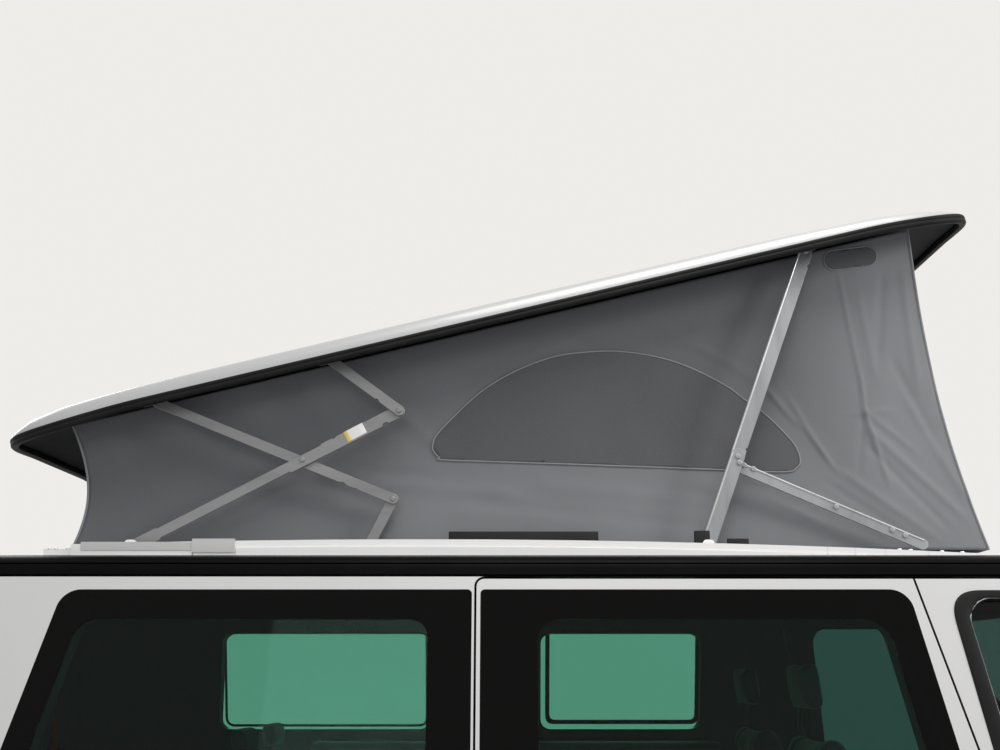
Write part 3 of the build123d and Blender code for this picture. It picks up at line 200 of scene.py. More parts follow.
# 1 inside a window with slanting ends and round corners
windowGroup, pIn, pOut = newGroup(
    "clearWindow",
    [(label, "Float", 0.0) for label in ("Along", "Up", "Rear Low", "Rear High", "Front Low", "Front High", "Base")]
    + [("Top", "Float", 1.0), ("Corner", "Float", 0.05)],
    [("Clear", "Float")],
)
wi = pIn.outputs


def windowMath(kind, *values):
    return mathNode(windowGroup, kind, *values)


share = windowMath(
    "DIVIDE", windowMath("SUBTRACT", wi["Up"], wi["Base"]), windowMath("SUBTRACT", wi["Top"], wi["Base"])
)


def between(low, high):
    return windowMath("ADD", low, windowMath("MULTIPLY", share, windowMath("SUBTRACT", high, low)))


rearEdge = between(wi["Rear Low"], wi["Rear High"])
frontEdge = between(wi["Front Low"], wi["Front High"])


def roundedReach(place, low, high):
    middle = windowMath("MULTIPLY", windowMath("ADD", low, high), 0.5)
    half = windowMath("MULTIPLY", windowMath("SUBTRACT", high, low), 0.5)
    off = windowMath("ABSOLUTE", windowMath("SUBTRACT", place, middle))
    return windowMath("SUBTRACT", off, windowMath("SUBTRACT", half, wi["Corner"]))


alongReach = roundedReach(wi["Along"], rearEdge, frontEdge)
upReach = roundedReach(wi["Up"], wi["Base"], wi["Top"])
squares = [windowMath("POWER", windowMath("MAXIMUM", reach, 0.0), 2) for reach in (alongReach, upReach)]
corner = windowMath("SQRT", windowMath("ADD", *squares))
inner = windowMath("MINIMUM", windowMath("MAXIMUM", alongReach, upReach), 0.0)
edge = windowMath("ADD", corner, inner)
windowGroup.links.new(windowMath("LESS_THAN", edge, wi["Corner"]), pOut.inputs["Clear"])


finishes = {}


def newMaterial(name):
    material = bpy.data.materials.new(name)
    material.use_nodes = True
    finishes[name] = material
    tree = material.node_tree
    return tree, tree.nodes["Principled BSDF"], tree.nodes.new("ShaderNodeTexCoord")


def placeGroup(tree, group, values=(), links=()):
    node = tree.nodes.new("ShaderNodeGroup")
    node.node_tree = group
    for label, value in dict(values).items():
        node.inputs[label].default_value = value
    for label, socket in dict(links).items():
        tree.links.new(socket, node.inputs[label])
    return node


def mixColors(tree, factor, first, second):
    node = tree.nodes.new("ShaderNodeMix")
    node.data_type = "RGBA"
    for socket, value in ((node.inputs["Factor"], factor), (node.inputs["A"], first), (node.inputs["B"], second)):
        if isinstance(value, bpy.types.NodeSocket):
            tree.links.new(value, socket)
        elif isinstance(value, (int, float)):
            socket.default_value = value
        else:
            socket.default_value = (*value, 1)
    return node.outputs["Result"]


def mapRange(tree, value, low, high, fromLow=0.3, fromHigh=0.7):
    node = tree.nodes.new("ShaderNodeMapRange")
    tree.links.new(value, node.inputs["Value"])
    node.inputs["From Min"].default_value = fromLow
    node.inputs["From Max"].default_value = fromHigh
    node.inputs["To Min"].default_value = low
    node.inputs["To Max"].default_value = high
    return node.outputs["Result"]


def addBump(tree, shader, height, strength, distance):
    bump = tree.nodes.new("ShaderNodeBump")
    bump.inputs["Strength"].default_value = strength
    bump.inputs["Distance"].default_value = distance
    tree.links.new(height, bump.inputs["Height"])
    tree.links.new(bump.outputs["Normal"], shader.inputs["Normal"])


def grained(name, color, second, roughness, spread, metallic=0.0, coat=0.0, blotch=3.0, fine=400.0, stretch=(1, 1, 1),
            strength=0.15, depth=0.0005, specular=0.5):
    # two near tones in blotches, with a fine grain in the roughness and the relief
    tree, shader, place = newMaterial(name)
    values = {"Blotch Scale": blotch, "Fine Scale": fine, "Stretch": stretch}
    grain = placeGroup(tree, grainGroup, values, {"Vector": place.outputs["Object"]})
    tint = mapRange(tree, grain.outputs["Blotch"], 0, 1)
    tree.links.new(mixColors(tree, tint, color, second), shader.inputs["Base Color"])
    rough = mapRange(tree, grain.outputs["Fine"], roughness - spread, roughness + spread)
    tree.links.new(rough, shader.inputs["Roughness"])
    shader.inputs["Metallic"].default_value = metallic
    shader.inputs["Coat Weight"].default_value = coat
    shader.inputs["Coat Roughness"].default_value = 0.04
    shader.inputs["Specular IOR Level"].default_value = specular
    addBump(tree, shader, grain.outputs["Fine"], strength, depth)


def panelled(name, color, second, insideTone, roughness, metallic, coat):
    # paint outside, plain near-black on the faces that look into the cabin
    tree, shader, place = newMaterial(name)
    grain = placeGroup(tree, grainGroup, {"Blotch Scale": 1.3, "Fine Scale": 2600.0},
                       {"Vector": place.outputs["Object"]})
    looks = {"Vector": place.outputs["Object"], "Normal": place.outputs["Normal"]}
    inside = placeGroup(tree, insideGroup, {}, looks).outputs["Inside"]
    flake = mapRange(tree, grain.outputs["Fine"], 0, 1)
    blotch = mapRange(tree, grain.outputs["Blotch"], 0, 1)
    paint = mixColors(tree, flake, mixColors(tree, blotch, color, second), tuple(min(c * 1.12, 1) for c in color))
    tree.links.new(mixColors(tree, inside, paint, insideTone), shader.inputs["Base Color"])
    tree.links.new(mapRange(tree, inside, metallic, 0, 0, 1), shader.inputs["Metallic"])
    tree.links.new(mapRange(tree, inside, coat, 0, 0, 1), shader.inputs["Coat Weight"])
    tree.links.new(mapRange(tree, inside, roughness, 0.75, 0, 1), shader.inputs["Roughness"])
    shader.inputs["Coat Roughness"].default_value = 0.03
    addBump(tree, shader, grain.outputs["Fine"], 0.04, 0.0002)


def woven(name, color, second, threads, depth, sheen=0.25, paintedLight=None):
    tree, shader, place = newMaterial(name)
    weave = placeGroup(tree, weaveGroup, {"Threads": threads}, {"Vector": place.outputs["Object"]})
    grain = placeGroup(tree, grainGroup, {"Blotch Scale": 2.2, "Fine Scale": 900.0},
                       {"Vector": place.outputs["Object"]})
    blotch = mapRange(tree, grain.outputs["Blotch"], 0, 1)
    tint = mathNode(tree, "MULTIPLY_ADD", blotch, 0.55, mapRange(tree, weave.outputs["Shade"], 0, 0.45))
    body = mixColors(tree, tint, color, second)
    if paintedLight:
        # painted light: paler where the cloth turns up to the light, in front of the struts and low down
        parts = tree.nodes.new("ShaderNodeSeparateXYZ")
        tree.links.new(place.outputs["Object"], parts.inputs[0])
        fore = mapRange(tree, parts.outputs["X"], 0, 0.85, 0.20, 0.50)
        low = mapRange(tree, parts.outputs["Z"], 0, 0.75, 2.42, 2.02)
        middle = mapRange(tree, parts.outputs["X"], 0, 1, -1.45, -0.80)
        paler = mathNode(tree, "MAXIMUM", fore, mathNode(tree, "MULTIPLY", low, middle))
        body = mixColors(tree, paler, body, paintedLight)
    tree.links.new(body, shader.inputs["Base Color"])
    shader.inputs["Roughness"].default_value = 0.85
    shader.inputs["Sheen Weight"].default_value = sheen
    shader.inputs["Sheen Roughness"].default_value = 0.45
    shader.inputs["Specular IOR Level"].default_value = 0.25
    addBump(tree, shader, weave.outputs["Height"], 0.35, depth)


def glazed(name, tint, frit, windows, ior=1.45, ways=("X", "Z")):
    # tinted glass whose printed black border lets nothing through
    tree, shader, place = newMaterial(name)
    parts = tree.nodes.new("ShaderNodeSeparateXYZ")
    tree.links.new(place.outputs["Object"], parts.inputs[0])
    clear = None
    places = {"Along": parts.outputs[ways[0]], "Up": parts.outputs[ways[1]]}
    for side, values in windows:
        pane = placeGroup(tree, windowGroup, values, places).outputs["Clear"]
        if side:
            there = mathNode(tree, "GREATER_THAN", mathNode(tree, "MULTIPLY", parts.outputs["Y"], float(side)), 0.0)
            pane = mathNode(tree, "MULTIPLY", pane, there)
        clear = pane if clear is None else mathNode(tree, "MAXIMUM", clear, pane)
    grain = placeGroup(tree, grainGroup, {"Blotch Scale": 1.5, "Fine Scale": 60.0}, {"Vector": place.outputs["Object"]})
    body = mixColors(tree, mapRange(tree, grain.outputs["Blotch"], 0, 0.25), tint, tuple(c * 0.9 for c in tint))
    if clear is not None:
        body = mixColors(tree, clear, frit, body)
    tree.links.new(body, shader.inputs["Base Color"])
    shader.inputs["Transmission Weight"].default_value = 1.0
    shader.inputs["Roughness"].default_value = 0.0
    shader.inputs["IOR"].default_value = ior


def fadingFloor(name, color, near, far):
    # pale floor that passes into the backdrop some way off, so that no horizon shows
    tree, shader, place = newMaterial(name)
    shader.inputs["Base Color"].default_value = (*color, 1)
    shader.inputs["Roughness"].default_value = 0.8
    shader.inputs["Specular IOR Level"].default_value = 0.1
    distance = vectorNode(tree, "LENGTH", place.outputs["Object"])
    clear = tree.nodes.new("ShaderNodeBsdfTransparent")
    blend = tree.nodes.new("ShaderNodeMixShader")
    tree.links.new(mapRange(tree, distance.outputs["Value"], 0, 1, near, far), blend.inputs[0])
    tree.links.new(shader.outputs[0], blend.inputs[1])
    tree.links.new(clear.outputs[0], blend.inputs[2])
    tree.links.new(blend.outputs[0], tree.nodes["Material Output"].inputs["Surface"])


def window(*values):
    return dict(zip(("Rear Low", "Rear High", "Front Low", "Front High", "Base", "Top", "Corner"), values))


# side of the van (-1 right, 1 left, 0 both), then the rear and front edges at foot and head, heights, corner radius
sidePanes = [
    (-1, window(-1.835, -1.702, -0.800, -0.800, 1.130, 1.688, 0.05)),
    (-1, window(-0.520, -0.520, 0.480, 0.382, 1.130, 1.688, 0.06)),
    (1, window(-1.712, -1.690, -0.890, -0.890, 1.350, 1.718, 0.04)),
    (1, window(-0.457, -0.457, 0.165, 0.165, 1.350, 1.718, 0.04)),
]
screenPanes = [(0, window(-0.755, -0.632, 0.755, 0.632, 1.200, 1.745, 0.08))]
tailPanes = [(0, window(-0.560, -0.525, 0.560, 0.525, 1.180, 1.655, 0.06))]
frit = (0.0012, 0.0012, 0.0014)

panelled("bodyPaint", (0.55, 0.555, 0.56), (0.59, 0.595, 0.60), (0.012, 0.012, 0.013), 0.34, 0.55, 0.8)
grained("roofPaint", (0.40, 0.405, 0.41), (0.44, 0.445, 0.45), 0.40, 0.04, metallic=0.2, coat=0.4, blotch=1.2,
        fine=2200, strength=0.05, depth=0.0002)
grained("roofLiner", (0.020, 0.020, 0.021), (0.034, 0.034, 0.035), 0.80, 0.08, blotch=5, fine=500, strength=0.3,
        depth=0.0006, specular=0.2)
glazed("sideGlass", (0.285, 0.56, 0.46), frit, sidePanes, ior=1.20)
glazed("screenGlass", (0.55, 0.72, 0.66), frit, screenPanes, ior=1.30, ways=("Y", "Z"))
# painted shade: the door glass is tinted far darker than the other panes, standing for the dark cabin behind it
glazed("doorGlass", (0.055, 0.110, 0.102), frit, [], ior=1.25)
glazed("tailGlass", (0.10, 0.20, 0.165), frit, tailPanes, ior=1.25, ways=("Y", "Z"))
glazed("lampLens", (0.93, 0.95, 0.97), frit, [])
grained("mirrorGlass", (0.80, 0.82, 0.83), (0.76, 0.78, 0.79), 0.04, 0.01, metallic=1.0, blotch=6, strength=0.0)
grained("lampBowl", (0.70, 0.71, 0.73), (0.60, 0.61, 0.63), 0.14, 0.05, metallic=1.0, blotch=9)
grained("redLens", (0.42, 0.012, 0.010), (0.30, 0.008, 0.008), 0.12, 0.04, coat=1.0, blotch=14, fine=120,
        strength=0.3, depth=0.001)
grained("blackTrim", (0.007, 0.007, 0.0075), (0.012, 0.012, 0.0125), 0.55, 0.10, blotch=6, fine=900,
        strength=0.35, depth=0.0004, specular=0.25)
grained("blackGloss", (0.0022, 0.0022, 0.0024), (0.0036, 0.0036, 0.0039), 0.42, 0.08, blotch=4, fine=500,
        strength=0.1, depth=0.0003, specular=0.04)
grained("blackRubber", (0.005, 0.005, 0.0053), (0.009, 0.009, 0.009), 0.60, 0.08, blotch=8, fine=700,
        strength=0.2, depth=0.0004, specular=0.15)
grained("railAluminium", (0.88, 0.88, 0.88), (0.78, 0.78, 0.79), 0.42, 0.10, metallic=0.35, blotch=5, fine=90,
        stretch=(0.12, 5, 5), strength=0.12, depth=0.0003)
grained("linkSteel", (0.285, 0.288, 0.292), (0.215, 0.218, 0.222), 0.46, 0.10, metallic=0.55, blotch=7, fine=160,
        stretch=(0.3, 4, 2), strength=0.15, depth=0.0003, specular=0.35)
grained("strutSteel", (0.38, 0.39, 0.405), (0.27, 0.28, 0.295), 0.42, 0.12, metallic=0.6, blotch=9, fine=150,
        stretch=(2, 4, 0.35), strength=0.2, depth=0.0003, specular=0.4)
# the paler tent tone is painted light, in front of the struts and low down
woven("tentCloth", (0.118, 0.120, 0.128), (0.140, 0.143, 0.152), 700, 0.0004, paintedLight=(0.215, 0.220, 0.232))
woven("tentMesh", (0.085, 0.086, 0.090), (0.108, 0.109, 0.114), 480, 0.0008, sheen=0.1)
# painted highlight: a lighter copy of the strut steel for the edges that catch the light
grained("brightSteel", (0.62, 0.63, 0.64), (0.50, 0.51, 0.52), 0.34, 0.08, metallic=0.5, blotch=9, fine=150,
        strength=0.1, depth=0.0003)
grained("dullAluminium", (0.60, 0.60, 0.60), (0.52, 0.52, 0.525), 0.48, 0.08, metallic=0.5, blotch=6, fine=90,
        stretch=(0.12, 5, 5), strength=0.12, depth=0.0003)
grained("tentPiping", (0.255, 0.260, 0.275), (0.215, 0.220, 0.232), 0.70, 0.08, blotch=14, fine=600,
        strength=0.3, depth=0.0004, specular=0.25)
woven("seatCloth", (0.026, 0.026, 0.029), (0.042, 0.042, 0.046), 420, 0.0006)
grained("cabinetBoard", (0.060, 0.058, 0.055), (0.095, 0.090, 0.084), 0.45, 0.06, blotch=2, fine=60,
        stretch=(0.4, 8, 8), strength=0.1)
grained("worktop", (0.040, 0.040, 0.042), (0.060, 0.060, 0.062), 0.35, 0.08, blotch=18, fine=300, strength=0.1)
grained("castMetal", (0.11, 0.11, 0.11), (0.17, 0.17, 0.17), 0.60, 0.12, metallic=0.7, blotch=12, fine=220,
        strength=0.5, depth=0.001)
grained("chassisBlack", (0.014, 0.014, 0.014), (0.030, 0.029, 0.027), 0.62, 0.14, metallic=0.2, blotch=10,
        fine=260, strength=0.4, depth=0.0008, specular=0.3)
grained("tyreRubber", (0.013, 0.013, 0.0135), (0.026, 0.0255, 0.025), 0.78, 0.10, blotch=7, fine=420,
        strength=0.4, depth=0.0006)
grained("rimAlloy", (0.55, 0.56, 0.58), (0.47, 0.48, 0.50), 0.30, 0.08, metallic=0.9, coat=0.6, blotch=9,
        fine=600)
grained("plateWhite", (0.78, 0.78, 0.77), (0.72, 0.72, 0.71), 0.38, 0.05, blotch=6, fine=500, strength=0.05)
grained("stickerWhite", (0.80, 0.79, 0.76), (0.70, 0.69, 0.67), 0.45, 0.06, blotch=30, fine=700, strength=0.1)
grained("stickerYellow", (0.72, 0.50, 0.08), (0.62, 0.43, 0.08), 0.45, 0.06, blotch=30, fine=700, strength=0.1)
fadingFloor("floorPaint", (0.88, 0.87, 0.86), 2.9, 6.5)

# finishes of the frame's own nodes
finishOfNode = {
    "bodyPaint": ["side_left", "side_right", "sliding_door", "cab_frame", "front_wings", "nose_panel", "roof_panel",
                  "door_left", "door_right", "tailgate", "bonnet", "bumpers", "mirror_left", "mirror_right"],
    "roofPaint": ["roof_shell"],
    "sideGlass": ["side_windows"],
    "screenGlass": ["windscreen"],
    "doorGlass": ["door_glass_left", "door_glass_right"],
    "tailGlass": ["tailgate_glass"],
    "lampLens": ["headlamp_lenses"],
    "lampBowl": ["headlamp_bowls"],
    "redLens": ["tail_lamps"],
    "blackGloss": ["gutters"],
    "blackTrim": ["grille", "dashboard", "steering_wheel", "wheel_houses"],
    "blackRubber": ["roof_seal"],
    "railAluminium": ["roof_rails", "roof_brackets"],
    "linkSteel": ["scissor_bars_van", "scissor_bars_roof", "short_stays_roof", "short_stays_van"],
    "strutSteel": ["front_struts_lower", "front_struts_upper", "front_braces"],
    "seatCloth": ["front_seats", "rear_bench"],
    "cabinetBoard": ["kitchen_unit"],
    "castMetal": ["engine_block"],
    "chassisBlack": ["front_subframe", "rear_axle", "knuckle_left", "knuckle_right", "floor_pan"],
    "tyreRubber": ["tyre_front_left", "tyre_front_right", "tyre_rear_left", "tyre_rear_right"],
    "rimAlloy": ["rim_front_left", "rim_front_right", "rim_rear_left", "rim_rear_right"],
}


def paint(piece, finish):
    piece.data.materials.clear()
    piece.data.materials.append(finishes[finish])


for finish, names in finishOfNode.items():
    for name in names:
        for slot in nodes[name].material_slots:
            slot.material = finishes[finish]
paint(floor, "floorPaint")
print("finishes ready:", len(finishes))


# shaping helpers
def clearPick():
    if bpy.context.mode != "OBJECT":
        bpy.ops.object.mode_set(mode="OBJECT")
    bpy.ops.object.select_all(action="DESELECT")


def only(piece):
    clearPick()
    piece.select_set(True)
    bpy.context.view_layer.objects.active = piece


def settle(piece):
    only(piece)
    bpy.ops.object.transform_apply(location=True, rotation=True, scale=True)
    return piece


def block(name, low, high, turn=(0, 0, 0)):
    # a box between two corners, turned about its middle
    clearPick()
    middle = [(a + b) / 2 for a, b in zip(low, high)]
    bpy.ops.mesh.primitive_cube_add(size=1, location=middle, rotation=turn)
    piece = bpy.context.object
    piece.name = name
    piece.scale = [b - a for a, b in zip(low, high)]
    return settle(piece)


def rod(name, start, end, radius, vertices=24):
    # a round bar between two points
    clearPick()
    run = Vector(end) - Vector(start)
    middle = (Vector(start) + Vector(end)) / 2
    turn = run.to_track_quat("Z", "Y").to_euler()
    bpy.ops.mesh.primitive_cylinder_add(vertices=vertices, radius=radius, depth=run.length, location=middle,
                                        rotation=turn)
    piece = bpy.context.object
    piece.name = name
    return settle(piece)


def pickFaces(piece, test):
    # edit mode with only those faces selected whose middle and normal pass the test
    only(piece)
    bpy.ops.object.mode_set(mode="EDIT")
    bpy.ops.mesh.select_mode(type="FACE")
    bpy.ops.mesh.select_all(action="DESELECT")
    mesh = bmesh.from_edit_mesh(piece.data)
    for face in mesh.faces:
        if test(face.calc_center_median(), face.normal):
            face.select_set(True)
    bmesh.update_edit_mesh(piece.data)


def insetFaces(piece, test, thickness, depth):
    pickFaces(piece, test)
    bpy.ops.mesh.inset(thickness=thickness, depth=depth)
    bpy.ops.object.mode_set(mode="OBJECT")
    return piece


def applied(piece, kind, **values):
    only(piece)
    modifier = piece.modifiers.new(kind.lower(), kind)
    for key, value in values.items():
        setattr(modifier, key, value)
    bpy.ops.object.modifier_apply(modifier=modifier.name)
    return piece


def roundEdges(piece, width, segments=2, angle=30):
    return applied(piece, "BEVEL", width=width, segments=segments, limit_method="ANGLE",
                   angle_limit=math.radians(angle))


def smoothed(piece):
    only(piece)
    bpy.ops.object.shade_smooth()
    return piece


def cleaned(piece):
    # doubles merged, then normals turned outwards
    only(piece)
    bpy.ops.object.mode_set(mode="EDIT")
    bpy.ops.mesh.select_all(action="SELECT")
    bpy.ops.mesh.remove_doubles(threshold=0.00001)
    bpy.ops.mesh.normals_make_consistent(inside=False)
    bpy.ops.object.mode_set(mode="OBJECT")
    return piece


def joined(name, pieces):
    clearPick()
    for piece in pieces:
        piece.select_set(True)
    bpy.context.view_layer.objects.active = pieces[0]
    bpy.ops.object.join()
    pieces[0].name = name
    pieces[0].data.name = name
    return pieces[0]


def copied(piece, name, move=(0, 0, 0), flip=False):
    # a copy with its own mesh, moved along or mirrored to the other side of the van
    twin = piece.copy()
    twin.data = piece.data.copy()
    twin.name = name
    bpy.context.collection.objects.link(twin)
    for vertex in twin.data.vertices:
        vertex.co += Vector(move)
        if flip:
            vertex.co.y = -vertex.co.y
    if flip:
        twin.data.flip_normals()
    return twin


def bothSides(name, piece):
    # the piece and its mirror image on the left as one mesh
    return joined(name, [piece, copied(piece, name + "Twin", flip=True)])


def dress(piece, finish, body, smooth=35):
    # finish and body of a piece; smooth is the angle in degrees up to which edges are shaded round
    only(piece)
    if smooth:
        bpy.ops.object.shade_smooth_by_angle(angle=math.radians(smooth))
    paint(piece, finish)
    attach(piece, body)


def roundedOutline(corners, steps=6):
    # corners (a, b, radius) turned into points with arcs at the corners
    points = []
    count = len(corners)
    for i, (a, b, radius) in enumerate(corners):
        here = Vector((a, b))
        back = Vector(corners[i - 1][:2]) - here
        on = Vector(corners[(i + 1) % count][:2]) - here
        if radius <= 0:
            points.append((a, b))
            continue
        half = back.angle(on) / 2
        reach = min(radius / math.tan(half), back.length * 0.49, on.length * 0.49)
        start, end = here + back.normalized() * reach, here + on.normalized() * reach
        for s in range(steps + 1):
            t = s / steps
            point = start * (1 - t) ** 2 + here * 2 * t * (1 - t) + end * t * t
            points.append((point.x, point.y))
    return points


def rectangle(a0, a1, b0, b1, radius, steps=6):
    return roundedOutline([(a0, b0, radius), (a1, b0, radius), (a1, b1, radius), (a0, b1, radius)], steps)


def objectOf(name, data):
    piece = bpy.data.objects.new(name, data)
    bpy.context.collection.objects.link(piece)
    return piece


def plate(name, outline, layer, thickness, holes=(), bevel=0.0008, plane="XZ"):
    # a flat plate cut to an outline; its middle lies at the layer
    curve = bpy.data.curves.new(name, "CURVE")
    curve.dimensions = "2D"
    curve.fill_mode = "BOTH"
    curve.extrude = thickness / 2 - bevel
    curve.bevel_depth = bevel
    curve.bevel_resolution = 1
    curve.offset = -bevel
    for points in [outline, *holes]:
        spline = curve.splines.new("POLY")
        spline.points.add(len(points) - 1)
        spline.use_cyclic_u = True
        for point, (a, b) in zip(spline.points, points):
            point.co = (a, b, 0, 1)
    piece = objectOf(name, curve)
    upright = plane == "XZ"
    piece.rotation_euler = (math.pi / 2, 0, 0 if upright else math.pi / 2)
    piece.location = (0, layer, 0) if upright else (layer, 0, 0)
    only(piece)
    bpy.ops.object.convert(target="MESH")
    return cleaned(settle(bpy.context.object))


def tube(name, points, radius, closed=False):
    # a round bead along points
    curve = bpy.data.curves.new(name, "CURVE")
    curve.dimensions = "3D"
    curve.bevel_depth = radius
    curve.bevel_resolution = 2
    curve.use_fill_caps = not closed
    spline = curve.splines.new("POLY")
    spline.points.add(len(points) - 1)
    spline.use_cyclic_u = closed
    for place, point in zip(spline.points, points):
        place.co = (*point, 1)
    only(objectOf(name, curve))
    bpy.ops.object.convert(target="MESH")
    return bpy.context.object


def surfaceAt(names, start, way):
    # where a line from the start first meets one of the frame's nodes
    best = None
    for name in names:
        hit, place, _, _ = nodes[name].ray_cast(Vector(start), Vector(way))
        if hit and (best is None or (place - Vector(start)).length < (best - Vector(start)).length):
            best = place
    return best


def grid(name, columns, rows):
    clearPick()
    bpy.ops.mesh.primitive_grid_add(x_subdivisions=columns, y_subdivisions=rows, size=1, location=(0, 0, 0))
    piece = bpy.context.object
    piece.name = name
    return piece


def band(name, rings):
    # a strip of faces between closed rings of points
    wide = len(rings[0])
    piece = grid(name, wide, len(rings) - 1)
    for i, vertex in enumerate(piece.data.vertices):
        vertex.co = Vector(rings[i // (wide + 1)][i % (wide + 1) % wide])
    return cleaned(piece)


def lerpTable(table, value):
    for (a, low), (b, high) in zip(table, table[1:]):
        if value <= b:
            return low + (high - low) * clamped((value - a) / (b - a))
    return table[-1][1]


def clamped(value):
    return min(1, max(0, value))


def smoothStep(value):
    value = clamped(value)
    return value * value * (3 - 2 * value)


# the roof opens about a far pole behind the van; the scene is drawn with the roof open
roofPole = Vector((-3.270, 0, 2.000))
openTurn = math.radians(13.7)


def opened(x, z):
    run, rise = x - roofPole.x, z - roofPole.z
    cos, sin = math.cos(openTurn), math.sin(openTurn)
    return (roofPole.x + run * cos - rise * sin, roofPole.z + run * sin + rise * cos)


# the tent and its cloth
tent = {
    "halfWidth": 0.580,
    "base": 1.893,
    "closedTop": 1.900,  # height where the cloth meets the shut roof's frame
    "rearTopX": -1.812,
    "frontTopX": 0.665,
    "columns": 290,
    "rows": 100,
    "frontShare": 0.45,  # share of the columns that lie in front of the struts
    "frontFrom": 0.80,
    "endColumns": 100,
    "rearRows": 40,
    "thickness": 0.0015,
    "hems": (0.02, 0.12),  # cloth that the seams and the rails hold: along, up
    "seam": 0.0032,
    "pull": 0.030,
    "endPull": 0.012,
    "creaseWidth": 0.85,
    "creaseDepth": 0.55,
    # creases: (x, z) from, (x, z) to, half width, height outwards
    "creases": [
        ((0.372, 2.700), (0.428, 2.380), 0.009, 0.0060),
        ((0.428, 2.380), (0.433, 2.297), 0.009, 0.0100),
        ((0.433, 2.297), (0.484, 2.099), 0.010, 0.0095),
        ((0.433, 2.297), (0.405, 2.130), 0.012, -0.0070),
        ((0.395, 2.288), (0.505, 2.297), 0.007, 0.0055),
        ((0.433, 2.297), (0.560, 2.190), 0.010, 0.0060),
        ((0.433, 2.297), (0.500, 2.400), 0.010, 0.0045),
        ((0.445, 2.240), (0.690, 1.990), 0.014, 0.0085),
        ((0.440, 2.190), (0.640, 1.960), 0.012, -0.0070),
        ((0.370, 2.110), (0.610, 1.925), 0.014, 0.0080),
        ((0.320, 2.080), (0.540, 1.925), 0.012, -0.0060),
        ((0.270, 2.060), (0.470, 1.930), 0.011, 0.0055),
        ((0.560, 2.330), (0.700, 2.050), 0.016, 0.0070),
        ((0.520, 2.450), (0.640, 2.180), 0.016, -0.0060),
        ((0.500, 2.700), (0.480, 2.450), 0.016, -0.0070),
        ((0.560, 2.700), (0.590, 2.380), 0.015, 0.0065),
        ((0.620, 2.640), (0.650, 2.300), 0.013, -0.0050),
        ((0.430, 2.640), (0.470, 2.400), 0.013, 0.0045),
        ((0.225, 2.320), (0.320, 2.150), 0.009, 0.0065),
        ((0.240, 2.270), (0.345, 2.120), 0.008, 0.0050),
        ((0.150, 2.370), (0.235, 2.260), 0.009, 0.0055),
        ((0.120, 2.400), (0.200, 2.300), 0.008, 0.0040),
        ((-0.120, 2.520), (0.060, 2.430), 0.011, 0.0045),
        ((-0.060, 2.500), (0.100, 2.400), 0.009, 0.0040),
        ((-0.560, 2.450), (-0.380, 2.520), 0.011, 0.0045),
        ((-0.940, 2.330), (-0.780, 2.180), 0.024, 0.0055),
        ((-1.000, 2.120), (-0.820, 2.110), 0.022, -0.0055),
        ((-0.960, 2.080), (-0.600, 2.060), 0.022, 0.0050),
        ((-1.500, 2.180), (-1.250, 2.060), 0.030, 0.0045),
        ((-1.700, 2.250), (-1.450, 2.160), 0.028, -0.0045),
        ((-1.350, 2.300), (-1.150, 2.360), 0.026, 0.0045),
        ((-0.500, 2.080), (0.100, 2.020), 0.028, 0.0050),
        ((-0.700, 2.030), (-0.050, 1.960), 0.024, -0.0045),
        ((0.120, 2.060), (0.300, 1.960), 0.016, 0.0060),
    ],
}


def bezier(points, t):
    # point of a curve with one handle
    a, b, c = points
    return tuple((1 - t) ** 2 * a[i] + 2 * t * (1 - t) * b[i] + t * t * c[i] for i in range(2))


rearTop = opened(tent["rearTopX"], tent["closedTop"])
frontTop = opened(tent["frontTopX"], tent["closedTop"])
# edges of the tent in the side view: foot, handle, head
rearEdgeCurve = ((-1.813, tent["base"]), (-1.752, 2.060), rearTop)
frontEdgeCurve = ((0.752, tent["base"]), (0.630, 2.300), frontTop)


def edgeAt(curve, share):
    # point of a curved edge at a share of its height
    low, high = 0.0, 1.0
    target = curve[0][1] + (curve[2][1] - curve[0][1]) * share
    for _ in range(24):
        middle = (low + high) / 2
        if bezier(curve, middle)[1] < target:
            low = middle
        else:
            high = middle
    return bezier(curve, (low + high) / 2)


def creaseHeight(x, z):
    # sum of all creases at a point, each with soft flanks and ends
    total = 0.0
    for start, end, width, rise in tent["creases"]:
        run = (end[0] - start[0], end[1] - start[1])
        length = math.hypot(*run)
        along = ((x - start[0]) * run[0] + (z - start[1]) * run[1]) / length
        off = ((z - start[1]) * run[0] - (x - start[0]) * run[1]) / length
        if abs(off) > 4 * width or not -0.05 < along < length + 0.05:
            continue
        width *= tent["creaseWidth"]
        ends = clamped((along + 0.05) / 0.09) * clamped((length + 0.05 - along) / 0.09)
        total += rise * math.exp(-(off / width) ** 2) * ends * ends * (3 - 2 * ends)
    return total * tent["creaseDepth"]


def clothRipple(x, z, seed):
    broad = noise.noise(Vector((x * 1.7, z * 3.1, seed))) * 0.0060
    drag = noise.noise(Vector(((x + z) * 6.0, (z - x * 0.6) * 1.8, seed + 7))) * 0.0026
    small = noise.noise(Vector((x * 16, z * 15, seed + 3))) * 0.0009
    return broad + drag + small


def sideBulge(x, z, share):
    # cloth pulled in between the roof and the deck, more where it is taller
    free = math.sin(math.pi * min(1, share * 1.02)) ** 0.35
    return -tent["pull"] * math.sin(math.pi * share) ** 1.15 + (creaseHeight(x, z) + clothRipple(x, z, 2)) * free


def columnPlace(along):
    # columns stand closer together in front of the struts
    split = 1 - tent["frontShare"]
    if along < split:
        return along / split * tent["frontFrom"]
    return tent["frontFrom"] + (along - split) / tent["frontShare"] * (1 - tent["frontFrom"])


def sidePoint(along, share, side):
    rear = edgeAt(rearEdgeCurve, share)
    front = edgeAt(frontEdgeCurve, share)
    x = rear[0] + (front[0] - rear[0]) * along
    z = rear[1] + (front[1] - rear[1]) * along
    return Vector((x, side * (tent["halfWidth"] + sideBulge(x, z, share)), z))


